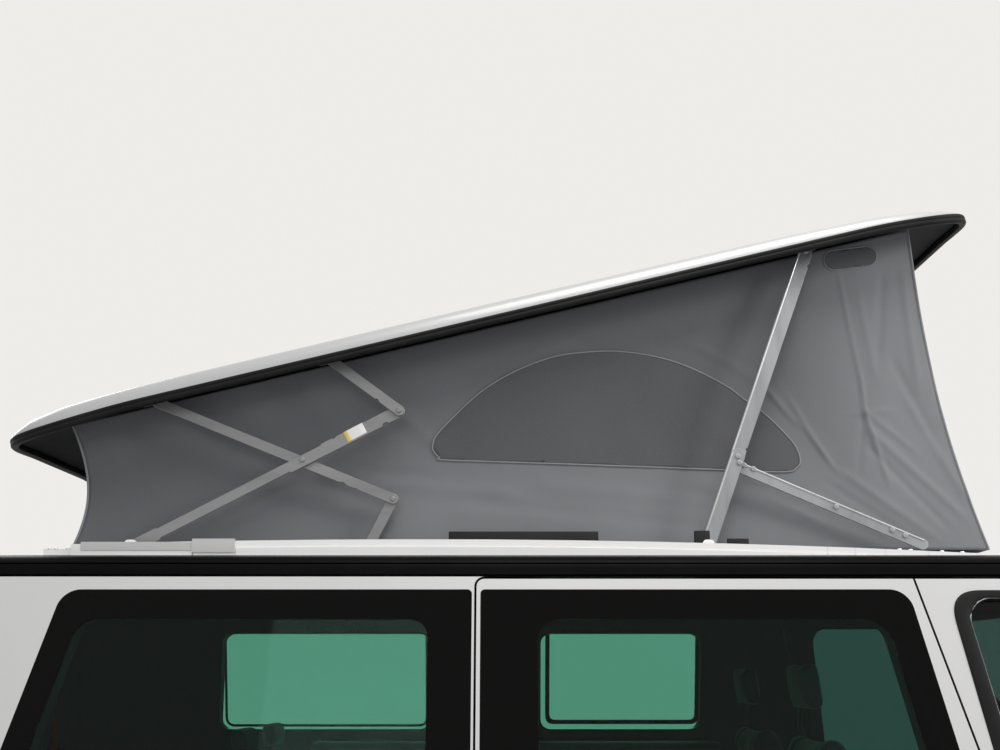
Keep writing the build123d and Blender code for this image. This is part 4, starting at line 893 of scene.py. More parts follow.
def clothObject(name, columns, rows, place):
    # a grid whose points are laid on the hanging cloth
    piece = grid(name, columns, rows)
    for vertex in piece.data.vertices:
        vertex.co = place(vertex.co.x + 0.5, vertex.co.y + 0.5)
    return piece


def finishCloth(piece, thickness, outward):
    # faces turned outwards, then the cloth's own thickness added behind them
    mesh = bmesh.new()
    mesh.from_mesh(piece.data)
    mesh.normal_update()
    if sum(face.normal.dot(outward) for face in mesh.faces) < 0:
        bmesh.ops.reverse_faces(mesh, faces=mesh.faces)
    mesh.to_mesh(piece.data)
    mesh.free()
    smoothed(applied(piece, "SOLIDIFY", thickness=thickness, offset=-1))


def followsTent(piece, finish):
    # given its finish, attached to the van and given a mesh of its own
    paint(piece, finish)
    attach(piece, "van")
    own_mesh(piece)


def endPoint(across, share, curve, forward):
    x, z = edgeAt(curve, share)
    y = (across - 0.5) * 2
    middle = 1 - y ** 4  # least at the corners
    pull = -tent["endPull"] * math.sin(math.pi * share) * middle + clothRipple(y * 0.5, z, 11 + forward) * middle
    return Vector((x + forward * pull, y * (tent["halfWidth"] + sideBulge(x, z, share)), z))


sides = (("Right", -1), ("Left", 1))
tentEnds = (("Front", frontEdgeCurve, 1, tent["rows"]), ("Rear", rearEdgeCurve, -1, tent["rearRows"]))
tentPieces = []
for label, side in sides:
    piece = clothObject("tentSide" + label, tent["columns"], tent["rows"],
                        lambda a, s: sidePoint(columnPlace(a), s, side))
    tentPieces.append((piece, Vector((0, side, 0))))
for label, curve, forward, rows in tentEnds:
    piece = clothObject("tent" + label, tent["endColumns"], rows, lambda a, s: endPoint(a, s, curve, forward))
    tentPieces.append((piece, Vector((forward, 0, 0))))

for piece, outward in tentPieces:
    finishCloth(piece, tent["thickness"], outward)
    followsTent(piece, "tentCloth")
    span = Vector(piece.bound_box[6]) - Vector(piece.bound_box[0])
    wide, tall = max(span.x, span.y) + tent["hems"][0], span.z + tent["hems"][1]
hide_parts("tent_fabric")
print("tent made")


# roof shell and the rubber lip along its edge, drawn shut and then turned open
roof = {
    "rear": -1.995,
    "front": 0.834,
    "halfWidth": 0.715,
    "squareness": 13,
    "low": 1.891,
    "wall": 0.010,
    "columns": 260,
    "shoulder": 0.050,  # width over which the side turns into the top
    "crown": 0.034,
    # height of the edge's rise along the roof
    "rise": [(-2.01, 0.003), (-1.965, 0.014), (-1.90, 0.034), (-1.80, 0.042), (-1.40, 0.045), (-0.50, 0.045),
             (0.30, 0.039), (0.55, 0.032), (0.70, 0.025), (0.78, 0.015), (0.84, 0.003)],
    "insets": [0, 0.0004, 0.0018, 0.0045, 0.009, 0.015, 0.023, 0.033, 0.046, 0.060, 0.080,
               0.13, 0.21, 0.32, 0.45, 0.58, 0.7149],
    "rearLift": -0.012,
    "frontLift": -0.013,
    "arch": 0.034,
    # section of the lip: outwards, upwards
    "lip": [(0.0000, 0.0010), (0.0022, -0.0020), (0.0026, -0.0075), (0.0006, -0.0095), (0.0026, -0.0115),
            (0.0026, -0.0185), (0.0000, -0.0225), (-0.0080, -0.0240), (-0.0170, -0.0215), (-0.0195, -0.0140),
            (-0.0185, -0.0060), (-0.0140, 0.0010)],
}


def roofLift(x, y):
    # both ends of the roof dip and are arched across
    rear = smoothStep((-1.56 - x) / 0.42)
    front = smoothStep((x - 0.50) / 0.37)
    arch = roof["arch"] * (1 - (y / roof["halfWidth"]) ** 2)
    return rear * (roof["rearLift"] + arch) + front * (roof["frontLift"] + arch)


def roofRing(inset):
    # outline of the roof with round corners, drawn in by the inset
    middle = (roof["rear"] + roof["front"]) / 2
    long = (roof["front"] - roof["rear"]) / 2 - inset
    wide = roof["halfWidth"] - inset
    power = 2 / roof["squareness"]
    points = []
    for i in range(roof["columns"]):
        angle = 2 * math.pi * i / roof["columns"]
        angle += 0.11 * math.sin(4 * angle)  # more points near the corners
        c, s = math.cos(angle), math.sin(angle)
        points.append((middle + math.copysign(abs(c) ** power, c) * long, math.copysign(abs(s) ** power, s) * wide))
    return points


def roofPoint(x, y, z):
    openX, openZ = opened(x, z)
    return (openX, y, openZ)


roofRings = []
for inset in roof["insets"]:
    ring = []
    for x, y in roofRing(inset):
        share = min(1, inset / roof["shoulder"])
        shoulder = (1 - (1 - share) ** 2.2) ** (1 / 2.2)
        inward = min(1, inset / roof["halfWidth"])
        ends = min(1, lerpTable(roof["rise"], x) / 0.04)
        rise = lerpTable(roof["rise"], x) * shoulder
        ring.append(roofPoint(x, y, roof["low"] + roofLift(x, y) + rise
                              + roof["crown"] * ends * (1 - (1 - inward) ** 2)))
    roofRings.append(ring)
roofShell = band("roofShell", roofRings)
roofShell.data.materials.append(finishes["roofPaint"])
roofShell.data.materials.append(finishes["roofLiner"])
applied(roofShell, "SOLIDIFY", thickness=roof["wall"], offset=-1, material_offset=1, material_offset_rim=1)
only(roofShell)
bpy.ops.object.shade_smooth_by_angle(angle=math.radians(50))
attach(roofShell, "roof")
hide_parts("roof_shell")

lipRings = []
outer = roofRing(0)
count = len(outer)
for out, up in roof["lip"] + roof["lip"][:1]:
    ring = []
    for i, (x, y) in enumerate(outer):
        before, after = Vector(outer[i - 1]), Vector(outer[(i + 1) % count])
        run = (after - before).normalized()
        away = Vector((run.y, -run.x))
        ring.append(roofPoint(x + away.x * out, y + away.y * out, roof["low"] + roofLift(x, y) + up))
    lipRings.append(ring)
roofLip = band("roofLip", lipRings)
dress(roofLip, "blackRubber", "roof", 50)
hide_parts("roof_seal")
print("roof shell and lip made")


# links of the lifting roof: pressed channels with rivets
pins = {
    "rearFoot": (-1.625, 1.897),
    "upperJoint": (-0.8979, 2.2786),
    "lowerJoint": (-0.9129, 2.0312),
    "rearTop": (-1.6031, 2.3147),
    "stayTop": (-1.1076, 2.4355),
    "stayFoot": (-0.980, 1.897),
    "cross": (-1.166, 2.140),
    "strutFoot": (-0.045, 1.897),
    "knee": (0.0453, 2.1470),
    "strutTop": (0.2710, 2.7716),
    "braceEnd": (0.050, 2.122),
    "braceToe": (0.556, 1.902),
}
links = {
    "web": 0.0028,
    "depth": 0.008,
    "flange": 0.0026,
    "rivet": {"radius": 0.0075, "height": 0.0035},
    # name, node, body, layer, from, to, width, extra length at both ends,
    # notches (along, run, depth, side), rivets (x, z)
    "bars": [
        ("scissorBarVan", "scissor_bars_van", "scissor_van", 0.628, "rearFoot", "upperJoint", 0.035, (0.010, 0.016),
         [(0.275, 0.400, 0.0045, -1), (0.330, 0.510, 0.0035, 1), (0.625, 0.012, 0.003, 1), (0.770, 0.018, 0.006, -1)],
         [pins["cross"], pins["upperJoint"]]),
        ("scissorBarRoof", "scissor_bars_roof", "scissor_roof", 0.618, "rearTop", "lowerJoint", 0.028, (-0.008, 0.015),
         [(0.600, 0.016, 0.004, -1), (0.640, 0.008, 0.003, -1)], [pins["lowerJoint"]]),
        ("shortStayRoof", "short_stays_roof", "stay_roof", 0.638, "stayTop", "upperJoint", 0.029, (0.000, 0.016),
         [(0.195, 0.012, 0.004, -1)], [pins["upperJoint"]]),
        ("shortStayVan", "short_stays_van", "stay_van", 0.608, "stayFoot", "lowerJoint", 0.029, (0.010, 0.016), [], []),
        ("frontStrutLower", "front_struts_lower", "strut_lower", 0.638, "strutFoot", "knee", 0.040, (0.012, 0.024),
         [], [pins["knee"], (0.0500, 2.1290)]),
        ("frontStrutUpper", "front_struts_upper", "strut_upper", 0.628, "knee", "strutTop", 0.040, (0.018, -0.010),
         [(0.030, 0.010, 0.004, -1), (0.600, 0.012, 0.004, -1)], [(0.262, 2.748)]),
        ("frontBrace", "front_braces", "brace", 0.618, "braceEnd", "braceToe", 0.030, (0.018, 0.012),
         [], [(0.066, 2.126), (0.092, 2.115), (0.318, 2.008), (0.470, 1.943), (0.505, 1.928)]),
    ],
}


def barOutline(start, end, width, extra, notches):
    # side view of a bar with round ends and notched edges
    start, end = Vector(start), Vector(end)
    run = (end - start).normalized()
    up = Vector((-run.y, run.x))
    half = width / 2
    low, high = -extra[0] + half, (end - start).length + extra[1] - half
    arc = [math.pi * k / 10 for k in range(1, 10)]

    def at(along, across):
        point = start + run * along + up * across
        return (point.x, point.y)

    points = []
    for way in (-1, 1):
        edge = [(low, half)]
        for along, wide, deep, side in sorted(notches):
            if side == way:
                a, b = along - wide / 2, along + wide / 2
                edge += [(a, half), (a + 0.002, half - deep), (b - 0.002, half - deep), (b, half)]
        edge.append((high, half))
        if way < 0:
            points += [at(a, -b) for a, b in edge]
            points += [at(high + half * math.sin(t), -half * math.cos(t)) for t in arc]
        else:
            points += [at(a, b) for a, b in reversed(edge)]
            points += [at(low - half * math.sin(t), half * math.cos(t)) for t in arc]
    return points


def shrunk(start, end, width, extra, by):
    return barOutline(start, end, width - 2 * by, (extra[0] - by, extra[1] - by), [])


def rivet(name, place, layer):
    # a round button head standing on the outer face
    size, (x, z) = links["rivet"], place
    piece = rod(name, (x, -layer + 0.001, z), (x, -layer - size["height"], z), size["radius"], 20)
    insetFaces(piece, lambda middle, normal: normal.y < -0.9, 0.0022, 0.0012)
    return roundEdges(piece, 0.0007, 2, 25)


for name, node, body, layer, start, end, width, extra, notches, rivets in links["bars"]:
    start, end = pins[start], pins[end]
    outer = layer + links["depth"] / 2
    behind = links["depth"] - links["web"]
    outline = barOutline(start, end, width, extra, notches)
    hollow = shrunk(start, end, width - 0.010, extra, links["flange"])
    web = plate(name, outline, -(outer - links["web"] / 2), links["web"])
    rim = plate(name + "Flange", outline, -(layer - links["depth"] / 2 + behind / 2), behind,
                holes=[hollow], bevel=0.0005)
    parts = [web, rim] + [rivet(name + "Rivet", place, outer) for place in rivets]
    piece = bothSides(name, joined(name, parts))
    finish = "strutSteel" if node.startswith("front") else "linkSteel"
    dress(piece, finish, body, smooth=0)
    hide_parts(node)
    if finish == "strutSteel":
        # folded edge in a lighter steel: a painted highlight for the light it catches
        run = (Vector(end) - Vector(start)).normalized()
        up = Vector((-run.y, run.x)) * (width / 2 - 0.0035)
        a = Vector(start) + up - run * (extra[0] - 0.016)
        b = Vector(end) + up + run * (extra[1] - 0.016)
        bead = tube(name + "Edge", [(a.x, -outer - 0.0002, a.y), (b.x, -outer - 0.0002, b.y)], 0.0026)
        dress(bothSides(name + "Edge", bead), "brightSteel", body)

# plates under the roof that hold the upper pins; their corners lie along and above the opened roof
holder = {
    "corners": ((-0.026, -0.014), (0.026, -0.014), (0.032, 0.012), (-0.032, 0.012)),
    "layers": (0.6035, 0.6455),
    "thickness": 0.003,
}
along = Vector((math.cos(openTurn), math.sin(openTurn)))
upwards = Vector((-along.y, along.x))
holders = []
for pin in ("strutTop", "stayTop", "rearTop"):
    corners = [Vector(pins[pin]) + along * a + upwards * b for a, b in holder["corners"]]
    outline = roundedOutline([(c.x, c.y, 0.006) for c in corners], 4)
    holders += [plate("roofHolder", outline, -layer, holder["thickness"]) for layer in holder["layers"]]
roofHolders = bothSides("roofHolders", joined("roofHolders", holders))
dress(roofHolders, "castMetal", "roof", smooth=0)
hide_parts("roof_brackets")

# a blank white sticker with a yellow end on the bar of the scissors
sticker = {"from": (-1.046, 2.2035), "to": (-0.994, 2.2310), "width": 0.031, "yellow": 0.010, "thickness": 0.0006}
start, end = Vector(sticker["from"]), Vector(sticker["to"])
run = (end - start).normalized()
split = start + run * sticker["yellow"]
across = Vector((-run.y, run.x)) * sticker["width"] / 2
for name, a, b in (("stickerYellow", start, split), ("stickerWhite", split, end)):
    outline = [tuple(corner) for corner in (a - across, b - across, b + across, a + across)]
    label = plate(name, outline, -(0.632 + sticker["thickness"] / 2), sticker["thickness"], bevel=0.0001)
    dress(label, name, "scissor_van")
print("links made")


# mesh window, vent and edge piping of the tent
tentWindow = {
    "grid": 0.0075,
    "proud": 0.0016,
    "piping": 0.0024,
    "thickness": 0.0008,
    "outline": [(-0.808, 2.194), (-0.797, 2.226), (-0.746, 2.282), (-0.668, 2.354), (-0.574, 2.411), (-0.463, 2.454),
                (-0.353, 2.470), (-0.258, 2.470), (-0.148, 2.452), (-0.054, 2.419), (0.039, 2.370), (0.085, 2.334),
                (0.139, 2.294), (0.191, 2.242), (0.228, 2.194), (0.240, 2.154), (0.230, 2.131), (0.187, 2.117),
                (-0.007, 2.125), (-0.403, 2.140), (-0.761, 2.153), (-0.788, 2.161), (-0.804, 2.178)],
}
tentVent = {
    "rear": (0.358, 2.742),
    "front": (0.454, 2.754),
    "radius": 0.029,
    "grid": 0.006,
    "proud": 0.0016,
    "piping": 0.0016,
    "thickness": 0.0008,
}


def smoothLoop(points, steps=6):
    # a closed curve through the points
    smooth = []
    count = len(points)
    for i in range(count):
        a, b, c, d = (Vector(points[(i + k) % count]) for k in (-1, 0, 1, 2))
        for s in range(steps):
            t = s / steps
            point = 0.5 * (2 * b + (c - a) * t + (2 * a - 5 * b + 4 * c - d) * t * t + (3 * b - a - 3 * c + d) * t ** 3)
            smooth.append((point.x, point.y))
    return smooth


def isInside(loop, x, z):
    # counts the edges of the loop in front of the point
    inside = False
    for i in range(len(loop)):
        (x0, z0), (x1, z1) = loop[i - 1], loop[i]
        if (z0 > z) != (z1 > z) and x < x0 + (x1 - x0) * (z - z0) / (z1 - z0):
            inside = not inside
    return inside


edgeTable = [(edgeAt(rearEdgeCurve, k / 160), edgeAt(frontEdgeCurve, k / 160)) for k in range(161)]


def shareAt(x, z):
    # how far up the cloth a point of the side view lies
    low, high = 0, 160
    while high - low > 1:
        middle = (low + high) // 2
        rear, front = edgeTable[middle]
        if rear[1] + (front[1] - rear[1]) * (x - rear[0]) / (front[0] - rear[0]) < z:
            low = middle
        else:
            high = middle
    rear, front = edgeTable[low]
    rearUp, frontUp = edgeTable[high]
    base = rear[1] + (front[1] - rear[1]) * (x - rear[0]) / (front[0] - rear[0])
    top = rearUp[1] + (frontUp[1] - rearUp[1]) * (x - rearUp[0]) / (frontUp[0] - rearUp[0])
    return (low + (z - base) / max(1e-6, top - base)) / 160


def onTent(x, z, side, proud):
    return Vector((x, side * (tent["halfWidth"] + sideBulge(x, z, shareAt(x, z)) + proud), z))


def patch(name, loop, cell, side, proud):
    # a grid cut to the loop and laid on the cloth, its edge drawn onto the loop
    low = [min(p[k] for p in loop) for k in (0, 1)]
    high = [max(p[k] for p in loop) for k in (0, 1)]
    span = [b - a for a, b in zip(low, high)]
    columns, rows = (max(2, round(size / cell)) for size in span)
    piece = clothObject(name, columns, rows, lambda a, b: Vector((low[0] + span[0] * a, 0, low[1] + span[1] * b)))
    mesh = bmesh.new()
    mesh.from_mesh(piece.data)
    out = [f for f in mesh.faces if not isInside(loop, f.calc_center_median().x, f.calc_center_median().z)]
    bmesh.ops.delete(mesh, geom=out, context="FACES")
    for vertex in mesh.verts:
        if vertex.is_boundary:
            spot = Vector((vertex.co.x, vertex.co.z))
            near = min(loop, key=lambda p: (Vector(p) - spot).length_squared)
            vertex.co.x, vertex.co.z = near
    bmesh.ops.remove_doubles(mesh, verts=mesh.verts, dist=0.0002)
    for vertex in mesh.verts:
        vertex.co = onTent(vertex.co.x, vertex.co.z, side, proud)
    mesh.to_mesh(piece.data)
    mesh.free()
    return piece


windowLoop = smoothLoop(tentWindow["outline"])
ventLoop = []
lean = (Vector(tentVent["front"]) - Vector(tentVent["rear"])).normalized()
rise = Vector((-lean.y, lean.x))
for end, turn in ((tentVent["front"], -1), (tentVent["rear"], 1)):
    for k in range(13):
        angle = math.pi * k / 12
        point = Vector(end) + tentVent["radius"] * (rise * turn * math.cos(angle) + lean * -turn * math.sin(angle))
        ventLoop.append((point.x, point.y))
for label, side in sides:
    for kind, loop, shape in (("Window", windowLoop, tentWindow), ("Vent", ventLoop, tentVent)):
        mesh = patch("tent" + kind + label, loop, shape["grid"], side, shape["proud"])
        finishCloth(mesh, shape["thickness"], Vector((0, side, 0)))
        followsTent(mesh, "tentMesh")
        edge = [onTent(x, z, side, shape["proud"]) for x, z in loop]
        bead = smoothed(tube("tent" + kind + "Piping" + label, edge, shape["piping"], closed=True))
        followsTent(bead, "tentPiping")
    for end, along in (("Rear", 0.0), ("Front", 1.0)):
        edge = [sidePoint(along, k / 40, side) for k in range(41)]
        followsTent(smoothed(tube("tentSeam" + end + label, edge, tent["seam"])), "tentPiping")
print("tent window, vent and seams made")


# seats: padded cushions, backs and headrests
seats = {
    "voxel": 0.014,
    "pressure": 4.0,
    "steps": 20,
    "front": {
        "x": 0.350, "y": 0.400, "width": 0.50, "floor": 0.502, "cushionLength": 0.500, "backHeight": 0.545,
        "rake": 13.5, "head": 0.255, "headX": -0.085, "headZ": 1.450, "headTall": 0.132,
    },
    "bench": {
        "x": -1.330, "y": -0.238, "width": 0.445, "floor": 0.502, "cushionLength": 0.510, "backHeight": 0.440,
        "rake": 11.5, "head": 0.235, "headX": -0.052, "headZ": 1.318, "headTall": 0.075,
    },
    "benchStep": 0.456,
}


def padded(name, low, high, turn=0.0, cap=0.022, grooves=(), edge=0.035):
    # a block rounded off, blown up as stuffed cloth and sewn down along its grooves
    piece = block(name, low, high, turn=(0, math.radians(turn), 0))
    roundEdges(piece, edge, 3)
    piece.data.remesh_voxel_size = seats["voxel"]
    only(piece)
    bpy.ops.object.voxel_remesh()
    start = [vertex.co.copy() for vertex in piece.data.vertices]
    stuffing = piece.modifiers.new("stuffing", "CLOTH")
    stuffing.settings.use_pressure = True
    stuffing.settings.uniform_pressure_force = seats["pressure"]
    stuffing.settings.effector_weights.gravity = 0
    for step in range(1, seats["steps"] + 1):
        bpy.context.scene.frame_set(step)
    only(piece)
    bpy.ops.object.modifier_apply(modifier=stuffing.name)
    bpy.context.scene.frame_set(1)
    for vertex, before in zip(piece.data.vertices, start):
        shift = vertex.co - before
        if shift.length > cap:
            vertex.co = before + shift.normalized() * cap
    applied(piece, "SUBSURF", levels=1, render_levels=1)
    for spot, way, depth in grooves:
        spot, way = Vector(spot), Vector(way)
        normals = [vertex.normal.copy() for vertex in piece.data.vertices]
        for vertex, normal in zip(piece.data.vertices, normals):
            off = (vertex.co - spot).dot(way)
            if abs(off) < 0.03:
                vertex.co -= normal * depth * math.exp(-(off / 0.009) ** 2)
    return smoothed(piece)


def seatSet(name, shape):
    # the pads of one seat: cushion, back and headrest
    x, y, wide = shape["x"], shape["y"], shape["width"]
    half = wide / 2 - 0.022
    length = shape["cushionLength"]
    sideways, upwards = (0, 1, 0), (0, 0, 1)
    grooves = [((x, y - wide * 0.27, 0), sideways, 0.007), ((x, y + wide * 0.27, 0), sideways, 0.007),
               ((x + length * 0.42, y, 0), (1, 0, 0), 0.004)]
    cushion = padded(name + "Cushion", (x + 0.010, y - half, 0.785), (x + length - 0.022, y + half, 0.868),
                     turn=-1.5, grooves=grooves)
    lean = math.tan(math.radians(shape["rake"]))
    middle = x + 0.052 - lean * shape["backHeight"] / 2
    tall = shape["backHeight"] - 0.050
    grooves = [((x, y - wide * 0.25, 0), sideways, 0.006), ((x, y + wide * 0.25, 0), sideways, 0.006),
               ((x, y, 1.10), upwards, 0.004), ((x, y, 1.28), upwards, 0.004)]
    back = padded(name + "Back", (middle - 0.030, y - half + 0.004, 0.895),
                  (middle + 0.032, y + half - 0.004, 0.895 + tall), turn=-shape["rake"], grooves=grooves)
    rest, low, high = x + shape["headX"], shape["headZ"], shape["headZ"] + shape["headTall"]
    head = padded(name + "Headrest", (rest - 0.022, y - shape["head"] / 2 + 0.016, low),
                  (rest + 0.022, y + shape["head"] / 2 - 0.016, high), turn=-8, cap=0.016, edge=0.018)
    return [cushion, back, head]


def seatFrame(name, shape, y):
    # base, side hinge covers and headrest posts
    x, length, half = shape["x"], shape["cushionLength"], shape["width"] / 2
    base = block(name + "Base", (x + length * 0.12, y - half * 0.72, shape["floor"]),
                 (x + length * 0.86, y + half * 0.72, 0.745))
    insetFaces(base, lambda middle, normal: abs(normal.y) > 0.9 or normal.x > 0.9, 0.030, -0.010)
    tray = block(name + "Tray", (x - 0.005, y - half + 0.012, 0.742), (x + length - 0.03, y + half - 0.012, 0.776))
    parts = [roundEdges(base, 0.008), roundEdges(tray, 0.012)]
    rest, head = x + shape["headX"], shape["headZ"]
    for way in (-1, 1):
        hinge = rod(name + "Hinge", (x + 0.07, y + way * (half - 0.010), 0.845),
                    (x + 0.07, y + way * (half + 0.006), 0.845), 0.042, 32)
        insetFaces(hinge, lambda middle, normal: abs(normal.y) > 0.9, 0.008, -0.002)
        parts.append(roundEdges(hinge, 0.003))
        off = y + way * 0.062
        post = rod(name + "Post", (rest - 0.004, off, head - 0.070), (rest, off, head + 0.030), 0.0065, 16)
        parts.append(roundEdges(post, 0.001, 1))
    return joined(name, parts)


frontPads = seatSet("frontSeatLeft", seats["front"])
farPads = [copied(pad, pad.name.replace("Left", "Right"), move=(0, -2 * seats["front"]["y"], 0)) for pad in frontPads]
nearPads = seatSet("benchRight", seats["bench"])
leftPads = [copied(pad, pad.name.replace("Right", "Left"), move=(0, seats["benchStep"], 0)) for pad in nearPads]
for pad in frontPads + farPads + nearPads + leftPads:
    paint(pad, "seatCloth")
    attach(pad, "van")
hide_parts("front_seats")
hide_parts("rear_bench")
for name, kind, y in (
    ("frontSeatFrameLeft", "front", seats["front"]["y"]),
    ("frontSeatFrameRight", "front", -seats["front"]["y"]),
    ("benchFrameRight", "bench", seats["bench"]["y"]),
    ("benchFrameLeft", "bench", seats["bench"]["y"] + seats["benchStep"]),
):
    dress(seatFrame(name, seats[kind], y), "blackTrim", "van")
print("seats made")


# rubber rings laid on the outside round the windows
doorSeal = {
    "outer": [(0.6445, 1.058, 0.05), (1.392, 1.058, 0.04), (1.392, 1.172, 0.04), (0.893, 1.764, 0.07),
              (0.548, 1.764, 0.075)],
    "inner": [(0.694, 1.091, 0.036), (1.357, 1.091, 0.026), (1.357, 1.162, 0.026), (0.875, 1.736, 0.056),
              (0.597, 1.736, 0.056)],
    # share of the way inwards, height above the door
    "rows": [(0.0, 0.0005), (0.03, 0.0035), (0.12, 0.0050), (0.55, 0.0050), (0.72, 0.0038), (0.84, 0.0020),
             (0.93, 0.0015), (1.0, 0.0012)],
}


def sealOn(names, name, side, spare, loops, rows, thickness):
    # spare is the distance from the middle of the van where the nodes are missed
    rings = []
    for share, proud in rows:
        ring = []
        for a, b in zip(*loops):
            x, z = Vector(a).lerp(Vector(b), share)
            hit = surfaceAt(names, (x, side * 1.3, z), (0, -side, 0))
            ring.append((x, (hit.y if hit else side * spare) + side * proud, z))
        rings.append(ring)
    return applied(band(name, rings), "SOLIDIFY", thickness=thickness, offset=-1)


loops = [roundedOutline(doorSeal[edge], 10) for edge in ("outer", "inner")]
for label, side in sides:
    names = ["door_" + label.lower(), "door_glass_" + label.lower()]
    seal = sealOn(names, "windowSeal" + label, side, 0.80, loops, doorSeal["rows"], 0.002)
    dress(seal, "blackRubber", "front_door_" + label[0].lower(), 40)
print("door seals made")


# sliding window frames on the far side
paneFrames = {
    # name, rear, front, low, high, width, corner radius
    "frames": [
        ("slidingFrameMiddle", -0.437, 0.170, 1.368, 1.752, 0.017, 0.035),
        ("slidingFrameRear", -1.700, -0.898, 1.358, 1.748, 0.010, 0.040),
    ],
    "rows": [(0, 0.0012), (0.5, 0.0022), (1, 0.0012)],
    "thickness": 0.0016,
}
for name, x0, x1, z0, z1, wide, radius in paneFrames["frames"]:
    loops = [rectangle(x0, x1, z0, z1, radius), rectangle(x0 + wide, x1 - wide, z0 + wide, z1 - wide, radius * 0.7)]
    ring = sealOn(["side_windows"], name, 1, 0.84, loops, paneFrames["rows"], paneFrames["thickness"])
    dress(ring, "blackTrim", "van", 40)

# low black boxes on the deck behind the rail, and foot caps under the front struts
deckBoxes = [
    # name, low and high corner on the left, width of the rim on the lid
    ("deckBoxLong", (-0.756, 0.602, 1.893), (-0.345, 0.650, 1.936), 0.006),
    ("deckBoxSmall", (0.006, 0.648, 1.893), (0.066, 0.6545, 1.916), 0.006),
    ("strutFoot", (-0.082, 0.638, 1.893), (-0.040, 0.6545, 1.938), 0),
]
for name, low, high, rim in deckBoxes:
    piece = block(name, low, high)
    if rim:
        insetFaces(piece, lambda middle, normal: normal.z > 0.9, rim, 0.0)
    dress(bothSides(name, roundEdges(piece, 0.003)), "blackTrim", "van")

# dull covers on the rear part of the rails
railCovers = [
    # name, rear, front, low, high, height above the rail
    ("railCover", -1.447, -1.331, 1.8725, 1.9105, 0.0035),
    ("railRearCover", -1.748, -1.449, 1.8780, 1.9020, 0.0015),
]
for name, x0, x1, z0, z1, proud in railCovers:
    hit = surfaceAt(["roof_rails"], ((x0 + x1) / 2, -1.0, (z0 + z1) / 2), (0, 1, 0))
    cover = plate(name, rectangle(x0, x1, z0, z1, 0.002, 3), hit.y - proud / 2, proud, bevel=0.0005)
    dress(bothSides(name, cover), "dullAluminium", "van", smooth=0)

# bolts and clips on the rear and front ends of the rails
railBolts = {"places": [-1.838, -1.822, -1.790, -1.778, 0.470, 0.500, 0.585, 0.640], "off": -0.672, "radius": 0.006}
parts = []
for x in railBolts["places"]:
    off = railBolts["off"]
    top = surfaceAt(["roof_rails"], (x, off, 2.2), (0, 0, -1))
    if top:
        bolt = rod("railBolt", (x, off, top.z - 0.001), (x, off, top.z + 0.004), railBolts["radius"], 6)
        insetFaces(bolt, lambda middle, normal: normal.z > 0.9, 0.0015, 0.0006)
        parts.append(roundEdges(bolt, 0.0006, 1))
if parts:
    dress(bothSides("railBolts", joined("railBolts", parts)), "railAluminium", "van")
print("frames, boxes and bolts made")


# blank number plates in their recesses, each in a thin black frame
plates = {
    "thickness": 0.003,
    "size": (0.520, 0.110),
    "places": [("plateFront", "bumpers", "van", 0.543, -1), ("plateRear", "tailgate", "rear_gate", 0.725, 1)],
}
for name, node, body, z, way in plates["places"]:
    wide, tall = plates["size"]
    hit = surfaceAt([node], (-3.0 * way, 0.0, z), (way, 0, 0))
    x = hit.x - way * (plates["thickness"] / 2 + 0.0005)
    outline = rectangle(-wide / 2, wide / 2, z - tall / 2, z + tall / 2, 0.012)
    face = plate(name, outline, x, plates["thickness"], bevel=0.0006, plane="YZ")
    rim = [(a * 1.012, z + (b - z) * 1.06) for a, b in outline]
    hole = [(a * 0.985, z + (b - z) * 0.93) for a, b in outline]
    frameRing = plate(name + "Frame", rim, x + way * 0.001, plates["thickness"] + 0.004, holes=[hole], plane="YZ")
    dress(face, "plateWhite", body)
    dress(frameRing, "blackTrim", body)

# glass of the door mirrors
mirror = {"place": (1.2985, 1.060, 1.185), "half": (0.071, 0.101), "corner": 0.03, "thickness": 0.003}
for label, side in sides:
    (x, off, z), (wide, tall) = mirror["place"], mirror["half"]
    outline = [(side * off + a, z + b) for a, b in rectangle(-wide, wide, -tall, tall, mirror["corner"])]
    glass = plate("mirrorGlass" + label, outline, x, mirror["thickness"], plane="YZ")
    dress(glass, "mirrorGlass", "front_door_" + label[0].lower())

# wipers: arm and blade laid on the screens
wipers = [
    # name, node, body, seen from x, way, pivot (y, z), tip (y, z)
    ("wiperLeft", "windscreen", "van", 3.0, -1, (0.56, 1.175), (0.06, 1.330)),
    ("wiperRight", "windscreen", "van", 3.0, -1, (-0.02, 1.175), (-0.56, 1.320)),
    ("wiperRear", "tailgate_glass", "rear_gate", -3.5, 1, (0.0, 1.160), (0.40, 1.260)),
]
for name, node, body, start, way, pivot, tip in wipers:
    def onScreen(share, proud):
        y = pivot[0] + (tip[0] - pivot[0]) * share
        z = pivot[1] + (tip[1] - pivot[1]) * share
        hit = surfaceAt([node], (start, y, z), (way, 0, 0))
        return Vector((hit.x - way * proud, y, z)) if hit else None

    arm = [p for p in (onScreen(k / 12, 0.016 - 0.006 * k / 12) for k in range(9)) if p]
    blade = [p for p in (onScreen(0.18 + 0.82 * k / 20, 0.0055) for k in range(21)) if p]
    if len(arm) > 3 and len(blade) > 3:
        hub = rod(name + "Hub", arm[0] + Vector((way * 0.016, 0, 0)), arm[0] - Vector((way * 0.008, 0, 0)), 0.014)
        parts = [tube(name + "Arm", arm, 0.0050), tube(name + "Blade", blade, 0.0042), roundEdges(hub, 0.003)]
        dress(joined(name, parts), "blackTrim", body)
print("plates, mirrors and wipers made")


